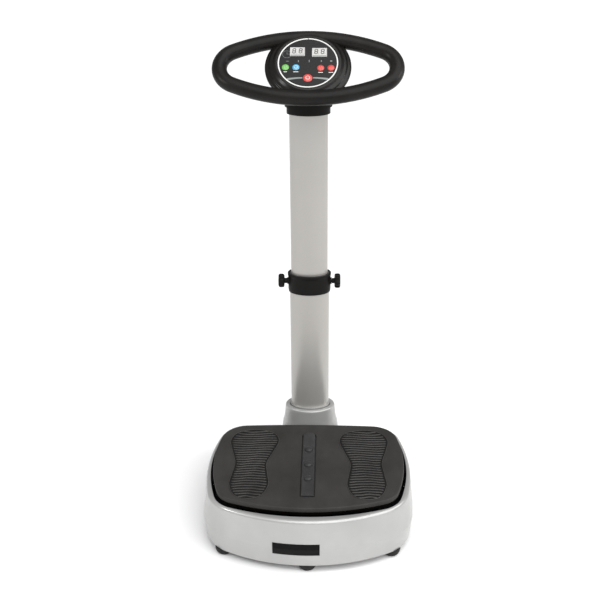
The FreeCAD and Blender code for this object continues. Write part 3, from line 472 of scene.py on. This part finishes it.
strip_low, strip_high = (np.array(corner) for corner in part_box("massage_strip"))
STRIP = (strip_high[0], strip_low[1], strip_high[1])
GROOVE = 2.5
slot_shape = (STRIP[0] + GROOVE * MM, STRIP[1] - GROOVE * MM, STRIP[2] + GROOVE * MM)
deck_share = fractions_of(deck_plan.rows(np.zeros((1, 2)))[0])
MAT_THICK, MAT_LIP = 4.0, 12.5
mat_edge = soft([(2.6, DECK_TOP - MAT_THICK), (2.6, DECK_TOP - MAT_LIP),
                 (0.5, DECK_TOP - MAT_LIP), (0.0, DECK_TOP - 8), (0.3, DECK_TOP),
                 (8, DECK_TOP)], [0, 0.2, 1, 3, 3.6, 0])
slot_edge = soft([(-1.5, DECK_TOP), (0, DECK_TOP), (0, DECK_TOP - MAT_THICK)], 0.9)
slot_wall = pill_rows(slot_edge, deck_share, *slot_shape)
mat_rows = np.concatenate([deck_plan.rows(mat_edge), slot_wall,
                           deck_plan.rows(mat_edge[:1])])
build("rubber_mat", [mat_rows], "deck", mat_rubber, ["deck_mat"])

# %% [markdown]
# ## Strip, nodules and tray
# The strip stands a little proud of the mat with a rounded top edge. Each nodule is a turned
# dome that runs out into a small fillet at its foot, which is how a moulding tool leaves it.
# The tray under the mat is one closed skin: down its glossy outer wall, round the lower lip,
# up the inner wall and across the underside.

# %% Strip, nodules and tray
STRIP_TOP = strip_high[2] / MM
TRAY_TOP = DECK_TOP - MAT_THICK
strip_wall = soft([(0, TRAY_TOP), (0, STRIP_TOP), (6, STRIP_TOP), (16, STRIP_TOP)],
                  [0, 1.8, 0.5, 0])
strip_share = np.linspace(0, 1, 301)
under = pill_rows([(16 * MM, TRAY_TOP * MM), (0, TRAY_TOP * MM)], strip_share, *STRIP)
strip_grid = np.concatenate([under, pill_rows(strip_wall, strip_share, *STRIP)])
build("strip_pad", [strip_grid], "deck", strip_rubber, ["massage_strip"])

nodule_low, nodule_high = (np.array(corner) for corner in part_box("massage_nodules"))
NODULE_R = nodule_high[0] / MM
NODULE_TOP = nodule_high[2] / MM
NODULE_ROWS = (nodule_high[1] - nodule_high[0], -0.055, nodule_low[1] + nodule_high[0])
turn = np.linspace(0, np.pi / 2, 16)
dome = np.column_stack([NODULE_R * 0.97 * np.sin(turn), STRIP_TOP + 0.6 + (
    NODULE_TOP - STRIP_TOP - 0.6) * np.cos(turn)])
foot = np.array([(NODULE_R * 0.985, STRIP_TOP + 0.25), (NODULE_R, STRIP_TOP), (0, STRIP_TOP)])
nodule_profile = np.concatenate([dome, foot]) * MM
build("nodules", [lathe(nodule_profile, seat((0, y, 0)), 48) for y in NODULE_ROWS],
      "deck", strip_rubber, ["massage_nodules"], crisp=60)

tray_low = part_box("deck_tray")[0][2] / MM
tray_wall = soft([(12, TRAY_TOP - 4), (13, tray_low), (9, tray_low), (5.5, tray_low + 15),
                  (5, tray_low + 16.5), (3.2, TRAY_TOP - 6), (3, TRAY_TOP), (6, TRAY_TOP)],
                 [0, 1.5, 1.5, 0.6, 0.6, 1, 0.8, 0])
deck_centre = (0, (mat_low[1] + mat_high[1]) / 2)
tray_grid = np.concatenate([
    deck_plan.fill(12 * MM, (TRAY_TOP - 4) * MM, deck_centre)[::-1],
    deck_plan.rows(tray_wall),
    deck_plan.fill(6 * MM, TRAY_TOP * MM, deck_centre)])
build("tray_skirt", [tray_grid], "deck", gloss_black, ["deck_tray"])

# %% [markdown]
# ## Ribbed footprints
# Each footprint is moulded on top of the mat: a thin raised outline, a near-black bed inside it
# that is painted shade for the grooves between the ribs, and a ladder of wavy ribs.
# A closed smooth curve gives the outline. A rib is a shallow half-round bar carried across the
# foot from one side of that curve to the other, swaying by a sine, and thinning to nothing
# at both ends.

# %% Footprints


def smooth_loop(points, count):
    """A closed Catmull-Rom curve through the points, as count evenly indexed points."""
    points = np.asarray(points, float)
    place = np.linspace(0, len(points), count, endpoint=False)
    base, t = place.astype(int), (place % 1)[:, None]
    a, b, c, d = (points[(base + shift) % len(points)] for shift in (-1, 0, 1, 2))
    return 0.5 * (2 * b + (c - a) * t + (2 * a - 5 * b + 4 * c - d) * t ** 2
                  + (3 * b - a - 3 * c + d) * t ** 3)


SOLE = [(144, 112), (190, 98), (208, 62), (202, 18), (189, -42), (193, -95), (196, -140),
        (180, -184), (148, -198), (114, -184), (98, -140), (103, -92), (107, -45), (92, 8),
        (80, 60), (98, 98)]
sole = smooth_loop(SOLE, 480) * MM
heel, toe = sole[:, 1].argmin(), sole[:, 1].argmax()
outer_side = sole[toe:heel + 1][::-1]
inner_side = np.concatenate([sole[heel:], sole[:toe + 1]])
RIB_PITCH, RIB_HALF, RIB_RISE, SWAY = 10.8, 2.3, 1.1, 2.4
GRIP_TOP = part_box("foot_grips")[1][2]


def rib(y, number):
    """One wavy rib across the right foot, as a closed flattened tube."""
    left = np.interp(y, inner_side[:, 1], inner_side[:, 0]) + 4 * MM
    right = np.interp(y, outer_side[:, 1], outer_side[:, 0]) - 4 * MM
    s = np.linspace(-1, 1, 49)[:, None]
    around = np.linspace(0, 2 * np.pi, 13)
    taper = np.sqrt(np.clip(1 - s ** 14, 0, 1))
    sway = SWAY * np.sin(2.6 * s + 0.9 + 0.12 * number) + 0.5 * np.sin(7 * s + number)
    x = (left + right) / 2 + (right - left) / 2 * s + 0 * around
    across = y + sway * MM + RIB_HALF * MM * taper * np.cos(around)
    rise = np.where(np.sin(around) > 0, RIB_RISE, 0.3) * np.sin(around)
    return np.stack([x, across, GRIP_TOP - RIB_RISE * MM + rise * taper * MM], axis=-1)


def ridge(loop, radius, height):
    """A thin round bead along a closed flat loop."""
    along = np.roll(loop, -1, axis=0) - np.roll(loop, 1, axis=0)
    along /= np.linalg.norm(along, axis=1)[:, None]
    out = np.column_stack([along[:, 1], -along[:, 0]])
    around = np.linspace(0, 2 * np.pi, 9)
    flat = loop[:, None] + radius * np.cos(around)[:, None] * out[:, None]
    grid = np.concatenate([flat, height + radius * np.sin(around)[None, :, None]
                           + 0 * flat[..., :1]], axis=-1)
    return np.concatenate([grid, grid[:1]])


rib_rows = np.arange(sole[heel, 1] + 9 * MM, sole[toe, 1] - 6 * MM, RIB_PITCH * MM)
right_foot = [rib(y, number) for number, y in enumerate(rib_rows)]
right_foot.append(ridge(sole, 1.0 * MM, GRIP_TOP - 0.9 * MM))
MIRROR = np.array([-1, 1, 1])
build("foot_ribs", right_foot + [grid * MIRROR for grid in right_foot], "deck",
      rib_rubber, ["foot_grips"], crisp=70)

# The bed is a flat near-black sheet laid under the ribs: painted shade for the grooves between
# them.
BED_RISE = 0.08
levels = np.linspace(sole[heel, 1], sole[toe, 1], 90)
reach = [np.interp(levels, side[:, 1], side[:, 0]) for side in (inner_side, outer_side)]
section = [(0, BED_RISE), (1, BED_RISE), (1, 0), (0, 0), (0, BED_RISE)]
bed = np.stack([np.column_stack([reach[side], levels, (DECK_TOP + up) * MM + 0 * levels])
                for side, up in section], axis=1)
build("foot_shade_sheets", [bed, bed * MIRROR], "deck", groove_shade_rubber)

# %% [markdown]
# ## The steering-wheel handle
# The handle lies on a plane that leans back by forty degrees. Everything up here is drawn in
# that plane's own frame: x across, y up the slope, z out of the face. The grip is a round tube
# carried along a path of four touching arcs: two long bows and two tight ends. Where the
# console sits on it, the tube is pressed down under the bezel.

# %% The handle's own frame and the grip tube
TILT = math.radians(40)
grip_low, grip_high = (np.array(corner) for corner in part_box("handle_ring"))
HANDLE = (grip_low + grip_high) / 2
UP_SLOPE = (0, math.cos(TILT), math.sin(TILT))
CONSOLE_UP = 4.1 * MM
on_handle = seat(HANDLE, y=UP_SLOPE)
on_console = seat(HANDLE + CONSOLE_UP * np.array(UP_SLOPE), y=UP_SLOPE)


def on_face(x, y):
    """Seat a piece on the console's face at x across and y up, in millimetres."""
    return lambda local: on_console(local + np.array([x, y, 0]) * MM)


GRIP_R, END_R, RING_DEEP = 18.2 * MM, 52 * MM, 85.7 * MM
RING_WIDE = grip_high[0] - GRIP_R
BEZEL_UNDER, BEZEL_REACH, BEZEL_SLOPE = 14.6, 76, 0.6


def ring_path(count=120):
    """Centres, radii and angles of the four arcs of the oval, end to end."""
    shift = RING_WIDE - END_R
    bow = (shift ** 2 + RING_DEEP ** 2 - END_R ** 2) / (2 * (RING_DEEP - END_R))
    half = math.atan2(shift, bow - RING_DEEP)
    arcs = [((0, RING_DEEP - bow), bow, np.pi / 2 - half, np.pi / 2 + half),
            ((-shift, 0), END_R, np.pi / 2 + half, 3 * np.pi / 2 - half),
            ((0, bow - RING_DEEP), bow, 3 * np.pi / 2 - half, 3 * np.pi / 2 + half),
            ((shift, 0), END_R, -np.pi / 2 + half, np.pi / 2 - half)]
    centre = np.concatenate([np.repeat([arc[0]], count, axis=0) for arc in arcs])
    radius = np.concatenate([np.full(count, arc[1]) for arc in arcs])
    angle = np.concatenate([np.linspace(*arc[2:], count) for arc in arcs])
    return centre, radius, np.column_stack([np.cos(angle), np.sin(angle)])


def grip_tube(grip_r, sides=56):
    """Tube: path point + r (cos b outward + sin b z), kept under the console's bezel."""
    centre, radius, out = ring_path()
    b = np.linspace(0, 2 * np.pi, sides + 1)
    reach = radius[:, None] + grip_r * np.cos(b)
    flat = centre[:, None] + reach[..., None] * out[:, None]
    height = np.broadcast_to(grip_r * np.sin(b), reach.shape)
    from_axis = np.hypot(flat[..., 0], flat[..., 1] - CONSOLE_UP)
    beyond = np.clip(from_axis / MM - BEZEL_REACH, 0, None)
    bezel = (BEZEL_UNDER + beyond * BEZEL_SLOPE) * MM
    return np.concatenate([flat, np.minimum(height, bezel)[..., None]], axis=-1)


tube = grip_tube(GRIP_R)
build("grip_ring", [on_handle(np.concatenate([tube, tube[:1]]))], "mast",
      grip_foam, ["handle_ring"], crisp=60)

# %% [markdown]
# ## Console housing
# The housing is a turned shape: a shallow bowl at the back, a broad rounded shoulder, two
# steps and then the raised bezel round the face. One closed profile, walked down its outside
# and back along its inside, gives the shell a real thickness.

# %% Console housing, ring and face film
FACE = 14.7
shell = [(0, -38), (60, -38), (88, -27), (99, -12), (102.5, -4), (102.5, 0), (100, 3),
         (93, 5.5), (91, 8.5), (84, 11), (78, FACE + 1.6), (72.1, FACE + 1.6),
         (72.1, FACE - 2.4), (69, FACE - 2.4), (69, 8), (80, 6), (89, 2), (98, -2),
         (98.5, -4.5), (95.5, -10.5), (85.5, -23.5), (59, -35), (0, -35)]
shell_cut = [0, 14, 12, 8, 4, 3, 3, 2.2, 1.6, 2, 1.8, 0.7, 0.3, 0.3] + [1] * 9
build("console_shell", [lathe(soft(shell, shell_cut), on_console, 144)], "mast",
      gloss_black, ["console_housing"])


def film_finish():
    """Glossy printed film: near-black with a faint orange-peel ripple and fine dust."""
    made = Finish("console_film", Specular_IOR_Level=0.2, Coat_Weight=0.1,
                  Coat_Roughness=0.1)
    cloud = made.noise(18, 4)
    dust = made.cells(900)
    made.feed(Base_Color=made.mix(made.between(cloud, 0, 1), (0.004, 0.004, 0.004),
                                  (0.008, 0.008, 0.0075)))
    made.feed(Roughness=made.between(cloud, 0.2, 0.34) + dust * 0.05)
    made.bump(made.noise(160, 2), 0.00003)
    return made.material


film = film_finish()
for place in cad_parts["console_face"].material_slots:
    place.material = film

print_white = moulded("screen_print_white", (0.72, 0.72, 0.70), (0.80, 0.80, 0.78),
                      (0.4, 0.5), 1800, 0.00002)
print_grey = moulded("screen_print_grey", (0.21, 0.235, 0.23), (0.26, 0.285, 0.28),
                     (0.4, 0.5), 1800, 0.00002)
ring_profile = soft([(68, FACE - 0.4), (68, FACE + 0.4), (71, FACE + 0.4),
                     (71, FACE - 0.4), (68, FACE - 0.4)], 0.25, 4)
NOTCH = math.radians(0.6)
build("white_ring", [lathe(ring_profile, on_console, 180, sweep=(
    np.pi / 2 + NOTCH, 2.5 * np.pi - NOTCH))], "mast", print_white,
    ["face_ring"])

# %% [markdown]
# ## Displays
# Each display is a pale module with two seven-segment digits. A segment is a flat bar with
# pointed ends, so a digit is seven copies of one six-sided plate, turned and moved. The plates
# stand a tenth of a millimetre proud of the module, so they are real shapes.

# %% Seven-segment displays


def plate(outline, low, high, place):
    """A flat plate: the closed outline, in millimetres, raised from low to high."""
    outline = np.array([*outline, outline[0]], float)
    middle_point = outline[:-1].mean(axis=0)
    rows = [(middle_point, low), (outline, low), (outline, high), (middle_point, high)]
    grid = np.stack([np.column_stack([np.broadcast_to(flat, outline.shape),
                                      np.full(len(outline), level)])
                     for flat, level in rows])
    return place(grid * MM)


def rounded(wide, deep, radius, x=0.0, y=0.0, steps=6):
    """The outline of a rectangle with round corners."""
    turn = np.linspace(0, np.pi / 2, steps)
    corners = [(1, 1, 0), (-1, 1, np.pi / 2), (-1, -1, np.pi), (1, -1, 1.5 * np.pi)]
    return np.concatenate([np.column_stack([
        x + side * (wide / 2 - radius) + radius * np.cos(turn + start),
        y + end * (deep / 2 - radius) + radius * np.sin(turn + start)])
        for side, end, start in corners])


def segment(x, y, upright, length=6.2, thick=2.0, slant=0.1):
    """A bar with pointed ends about (x, y); the whole digit leans by the slant."""
    half, tip = length / 2, thick / 2
    bar = np.array([(-half, 0), (-half + tip, tip), (half - tip, tip), (half, 0),
                    (half - tip, -tip), (-half + tip, -tip)])
    bar = (bar[:, ::-1] * (-1, 1) if upright else bar) + (x, y)
    return bar + np.column_stack([bar[:, 1] * slant, 0 * bar[:, 1]])


PITCH = 6.4
SEGMENTS = [(0, PITCH, 0), (0, 0, 0), (0, -PITCH, 0), (-PITCH / 2, PITCH / 2, 1),
            (PITCH / 2, PITCH / 2, 1), (-PITCH / 2, -PITCH / 2, 1), (PITCH / 2, -PITCH / 2, 1)]
DISPLAYS = [(-25, 31.6), (27, 29.5)]
WINDOW = (35, 25)
modules, digits, sills = [], [], []
for x, y in DISPLAYS:
    here = on_face(x, y)
    edge = rounded(*WINDOW, 1.2)
    modules.append(plate(edge, FACE - 4, FACE + 0.35, here))
    rim = np.concatenate([edge, edge[:1]])
    sections = [(1, 0.3), (1, 0.6), (0.93, 0.6), (0.90, 0.35)]
    modules.append(here(np.stack([np.column_stack([
        rim * share, np.full(len(rim), FACE + level)]) for share, level in sections]) * MM))
    for across in (-8.0, 7.2):
        digits += [plate(segment(sx + across, sy + 2.6, upright), FACE + 0.3, FACE + 0.5, here)
                   for sx, sy, upright in SEGMENTS]
        digits.append(plate(rounded(1.3, 1.3, 0.6, across + 5.4, -4.2), FACE + 0.3,
                            FACE + 0.5, here))
    sills.append(plate(rounded(32.5, 3.0, 0.8, 0, -10.3), FACE + 0.3, FACE + 0.5, here))
display_pale = moulded("display_module", (0.46, 0.455, 0.44), (0.54, 0.535, 0.52),
                       (0.2, 0.32), 1500, 0.00002, cloud=40, Coat_Weight=0.3)
digit_dark = moulded("unlit_segments", (0.028, 0.028, 0.03), (0.05, 0.05, 0.052), (0.2, 0.3),
                     1500, 0.00002, Coat_Weight=0.3)
build("display_modules", modules, "mast", display_pale, ["display_windows"])
build("display_digits", digits, "mast", digit_dark)
build("display_sills", sills, "mast", print_grey)

# %% [markdown]
# ## Printed marks on the face
# The film carries a few generic marks: five ticks, a short bar under each small key, a faint
# clock dial and two grey swooshes that run from the power key out to the ring. All of them are
# thin plates on the film. A swoosh is a band between two arcs that widens as it goes.

# %% Printed marks


def swoosh(side):
    """A band along y = -43.5 - 0.003 (x - 12)^2 whose half-width grows towards its far end."""
    t = np.linspace(0, 1, 24)[:, None]
    x = 12.3 + 36 * t
    y = -43.5 - 0.003 * (x - 12) ** 2
    half = 1.6 + 1.2 * t
    band = np.stack([np.concatenate([x, y + way * half, 0 * x + FACE + rise], axis=1)
                     for way, rise in ((-1, -0.1), (-1, 0.12), (1, 0.12), (1, -0.1), (-1, -0.1))])
    return on_console(band * (side, 1, 1) * MM)


def dial(radius, thick, x, y):
    profile = np.array([(radius - thick, FACE - 0.1), (radius - thick, FACE + 0.1),
                        (radius, FACE + 0.1), (radius, FACE - 0.1)]) * MM
    return lathe(profile, on_face(x, y), 64)


KEYS = {"power": (0, -43.7, 11, "red"), "program": (-52.6, -13, 8.5, "green"),
        "time": (-28, -13, 8.5, "blue"), "slower": (30, -15, 8.5, "red"),
        "faster": (54, -15, 8.5, "red")}
flush = (FACE - 0.1, FACE + 0.12, on_console)
ticks = [plate(rounded(wide, high, 0.5, x, 4.4), *flush)
         for x, wide, high in ((-48, 6.5, 1.1), (-22.5, 1.6, 6), (3, 1.6, 6.5), (31.5, 2.2, 4),
                               (54.5, 5, 3.2))]
ticks += [swoosh(-1), swoosh(1), dial(10.5, 0.5, -50, 24.5)]
ticks += [plate(segment(-50.5 + x, 25 + y, upright, 7, 0.5), *flush)
          for x, y, upright in ((1.4, 0, 0), (-2, 3, 1))]
labels = [plate(rounded(wide, 1.7, 0.6, x, y - radius - 4.6), *flush)
          for (x, y, radius, _), wide in zip(list(KEYS.values())[1:], (8, 12, 11, 11))]
build("film_marks", ticks, "mast", print_grey)
build("film_labels", labels, "mast", print_white)

# %% [markdown]
# ## The five keys
# A key is a small turned button with a softly domed crown that sits in its own hole, so it can
# be pressed. Its sign is moulded in relief: a broken circle with a bar for power, and plain
# arrows, a clock ring with two hands and three short bars for the rest.

# %% Keys and their signs


def key_finish(name, dark, light):
    return moulded(name, dark, light, (0.24, 0.36), 1400, 0.00002, cloud=60,
                   Coat_Weight=0.35, Coat_Roughness=0.1)


KEY_COLOURS = {"red": key_finish("red_key", (0.50, 0.035, 0.025), (0.62, 0.06, 0.045)),
               "green": key_finish("green_key", (0.10, 0.36, 0.06), (0.15, 0.46, 0.09)),
               "blue": key_finish("blue_key", (0.05, 0.30, 0.52), (0.09, 0.40, 0.62))}
KEY_TOP = FACE + 1.6


def key_grid(x, y, radius):
    profile = soft([(0, FACE - 6.5), (radius - 2, FACE - 6.5), (radius - 2, FACE - 4),
                    (radius, FACE - 4), (radius, FACE + 0.4), (radius - 1.6, KEY_TOP - 0.35),
                    (radius * 0.4, KEY_TOP), (0, KEY_TOP)],
                   [0, 0.2, 0.2, 0.2, 0.8, 0.8, 2, 0])
    return lathe(profile, on_face(x, y), 72)


def arc_bar(x, y, radius, thick, sweep, low, high):
    """A flat ring, or part of one, raised on a key."""
    profile = np.array([(radius - thick, low), (radius - thick, high), (radius, high),
                        (radius, low), (radius - thick, low)]) * MM
    return lathe(profile, on_face(x, y), 48, sweep=sweep)


def arrow(x, y, size, way):
    """A plain triangle that points up or down."""
    points = np.array([(-0.9, -0.6), (0.9, -0.6), (0, 0.9)]) * size * (1, way) + (x, y)
    return plate(points, KEY_TOP - 0.9, KEY_TOP - 0.02, on_console)


def key_sign(name, x, y, radius):
    low, high = KEY_TOP - 0.9, KEY_TOP - 0.02
    if name == "power":
        return [arc_bar(x, y, 5.2, 1.1, (2.15, 2.15 + 2 * np.pi * 0.84), low, high),
                plate(rounded(1.2, 4.6, 0.5, x, y + 3.2), low, high, on_console)]
    if name == "time":
        return [arc_bar(x, y, 4.4, 0.8, (0, 2 * np.pi), low, high),
                plate(rounded(0.8, 3, 0.3, x, y + 1.1), low, high, on_console),
                plate(rounded(2.4, 0.8, 0.3, x + 0.9, y - 0.2), low, high, on_console)]
    if name == "program":
        return [plate(rounded(wide, 1, 0.4, x, y + up), low, high, on_console)
                for wide, up in ((6.4, 2.4), (6.4, 0), (4, -2.4))]
    return [arrow(x, y, 3.6, 1 if name == "faster" else -1)]


for name, (x, y, radius, colour) in KEYS.items():
    body, slot = f"{name}_key", f"{colour}_key"
    build(f"{name}_cap", [key_grid(x, y, radius)], body, KEY_COLOURS[colour],
          [f"{name}_button"])
    build(f"{name}_sign", key_sign(name, x, y, radius), body, print_white)

# %% [markdown]
# ## Clamp collar and knobs
# The collar is an oval sleeve with a rounded lower edge and a lip that opens like a funnel. Its
# surface is a row of ellipses, one for each point of a profile of half-width, half-depth and
# height. The two knobs are turned shapes whose heads swell into six lobes for the fingers.

# %% Collar and knobs
collar_low, collar_high = (np.array(corner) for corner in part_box("clamp_collar"))
MAST = (0.0, (collar_low[1] + collar_high[1]) / 2)
TOP, FOOT = collar_high[2] / MM, collar_low[2] / MM


def ovals(profile, sides=144):
    """Ellipses about the mast's axis: x = a cos t, y = b sin t, at each (a, b, height)."""
    t = np.linspace(0, 2 * np.pi, sides + 1)
    a, b, height = (profile[:, axis, None] for axis in range(3))
    return np.stack([MAST[0] + a * np.cos(t), MAST[1] + b * np.sin(t), height + 0 * t], axis=-1)


collar_wall = soft([(51.4, 32.2, FOOT + 20), (51.4, 32.2, FOOT), (54.2, 35.4, FOOT),
                    (55.2, 36.4, FOOT + 8), (55.4, 36.6, TOP - 9), (56.4, 38, TOP - 4.5),
                    (56.4, 38, TOP), (52.2, 33.2, TOP), (51.5, 32.3, TOP - 5),
                    (51.4, 32.2, FOOT + 20)], [0, 0.4, 1.6, 3, 2.5, 1.5, 0.9, 0.9, 1, 0])
knob_low, knob_high = (np.array(corner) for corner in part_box("right_clamp_knob"))
CLAMP = (knob_low[2] + knob_high[2]) / 2
SIDEWAYS = {"right": dict(x=(0, 1, 0), y=(0, 0, 1)), "left": dict(x=(0, 0, 1), y=(0, 1, 0))}
KNOB_START, KNOB_R, BOSS_START = knob_low[0], 19.5, 49.8 * MM
boss = soft([(5, 0), (5, 8.2), (9, 8.2), (9, 0)], [0, 0.3, 0.8, 0])
stem = soft([(0, 0), (4, 0), (4, 8.7), (7, 8.7), (7, 15.6)], [0, 0.3, 0.2, 0.8, 0])
head = soft([(0, 15.4), (12, 15.4), (KNOB_R - 1.5, 16.4), (KNOB_R, 23), (KNOB_R - 1, 29.4),
             (KNOB_R - 5, 31.4), (6.5, 30.9), (6, 30.1), (0, 30.1)],
            [0, 2, 2.4, 4, 2.4, 2.4, 0.4, 0.4, 0])
bosses = []
for side, way in (("left", -1), ("right", 1)):
    bosses.append(lathe(boss, seat((way * BOSS_START, MAST[1], CLAMP), **SIDEWAYS[side]), 48))
    out = seat((way * KNOB_START, MAST[1], CLAMP), **SIDEWAYS[side])
    build(f"{side}_knob_body", [lathe(stem, out, 48), lathe(head, out, 120, 6, 0.15)],
          f"{side}_knob", textured_black, [f"{side}_clamp_knob"])
build("collar_sleeve", [ovals(collar_wall), *bosses], "base",
      textured_black, ["clamp_collar"])

# %% [markdown]
# ## Neck of the base and rubber feet
# The neck round the foot of the mast is also a row of ellipses: it stands almost upright at
# the top, turns over a round rim into the socket of the mast, and flares out where it meets
# the cover. Its front is held back behind the deck's well. The feet are simple turned domes.

# %% Neck and feet
neck_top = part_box("column_shroud")[1][2] / MM
neck_wall = soft([(79, 59, 100), (77.5, 57.5, 128), (75, 55, 150), (70.8, 50.8, 165),
                  (69, 49, 180), (67.6, 47.9, neck_top - 6), (66.5, 47, neck_top),
                  (54.6, 35.6, neck_top), (54.6, 35.6, neck_top - 14),
                  (57, 38, neck_top - 16), (63, 44, neck_top - 17)],
                 [0, 12, 10, 8, 9, 4, 5, 2.4, 0.5, 0.5, 0], 8)
neck_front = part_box("column_shroud")[0][1]
neck = ovals(neck_wall)
neck[..., 1] = np.maximum(neck[..., 1], neck_front + 0.0004)
build("mast_neck", [neck], "base", silver, ["column_shroud"], crisp=50)

FEET = [(0, -242), (-209, -184), (209, -184), (-110, 235), (110, 235)]
foot_profile = soft([(0, 0), (14, 0), (20, 3.6), (23, 12), (23, 20.7), (14, 20.7), (0, 20.7)],
                    [0, 3, 4, 3, 0.6, 0.3, 0])
build("foot_domes", [lathe(foot_profile, seat((x * MM, y * MM, 0)), 64) for x, y in FEET],
      "base", foot_rubber, ["rubber_feet"])

# %% [markdown]
# ## Floor, light and camera
# The machine stands in a plain white studio: a pale floor, an even grey-white sky, and one
# very soft main light from the upper right that reaches the whole floor evenly, so the right
# side of every rounded form is brighter than the left. A strip on the left draws a thin
# highlight along the black parts. The camera is at a standing person's eye height.

# %% Studio floor and lights


def area_light(name, where, aim, size, power, colour=(1, 1, 1)):
    """A square soft light at a place, turned so that it faces its aim."""
    data = bpy.data.lights.new(name, "AREA")
    data.size, data.energy, data.color = size, power, colour
    lamp = bpy.data.objects.new(name, data)
    bpy.context.scene.collection.objects.link(lamp)
    lamp.location = where
    lamp.rotation_euler = (Vector(aim) - Vector(where)).to_track_quat("-Z", "Y").to_euler()
    return lamp


def floor_finish():
    made = Finish("studio_floor")
    cloud = made.noise(1.2, 3)
    made.feed(Base_Color=made.mix(made.between(cloud, 0, 1), (0.93, 0.93, 0.93),
                                  (0.96, 0.96, 0.96)))
    made.feed(Roughness=made.between(cloud, 0.85, 0.95))
    return made.material


FLOOR = 14.0
floor_mesh = bpy.data.meshes.new("studio_floor")
floor_mesh.from_pydata([(x * FLOOR, y * FLOOR, 0) for x, y in ((-1, -1), (1, -1), (1, 1), (-1, 1))],
                       [], [(0, 1, 2, 3)])
floor_mesh.materials.append(floor_finish())
floor = bpy.data.objects.new("studio_floor", floor_mesh)
bpy.context.scene.collection.objects.link(floor)

sky = bpy.data.worlds.new("studio_sky")
sky.use_nodes = True
sky.node_tree.nodes["Background"].inputs["Color"].default_value = (1, 1, 1, 1)
sky.node_tree.nodes["Background"].inputs["Strength"].default_value = 0.42
bpy.context.scene.world = sky
sun = bpy.data.lights.new("soft_main", "SUN")
sun.energy, sun.angle = 2.9, math.radians(75)
main = bpy.data.objects.new("soft_main", sun)
main.rotation_euler = Vector((-0.45, 0.62, -1.0)).to_track_quat("-Z", "Y").to_euler()
bpy.context.scene.collection.objects.link(main)
area_light("strip_left", (-1.9, -0.9, 1.9), (0, 0.15, 1.1), 0.5, 14)
area_light("rim_right", (1.9, 0.1, 1.5), (0, 0.2, 0.8), 0.6, 9)
bpy.context.scene.view_settings.view_transform = "Standard"
print("floor, sky, main light and two strips ready")

# %% Camera
lens = bpy.data.cameras.new("standing_view")
lens.lens, lens.sensor_width = 62.18, 36
lens.dof.use_dof = False
viewer = bpy.data.objects.new("standing_view", lens)
viewer.location = (0.0524, -2.2687, 1.6869)
viewer.rotation_euler = [math.radians(turn) for turn in (64.666, 0.513, 1.557)]
bpy.context.scene.collection.objects.link(viewer)
bpy.context.scene.camera = viewer
print("camera at", tuple(viewer.location))
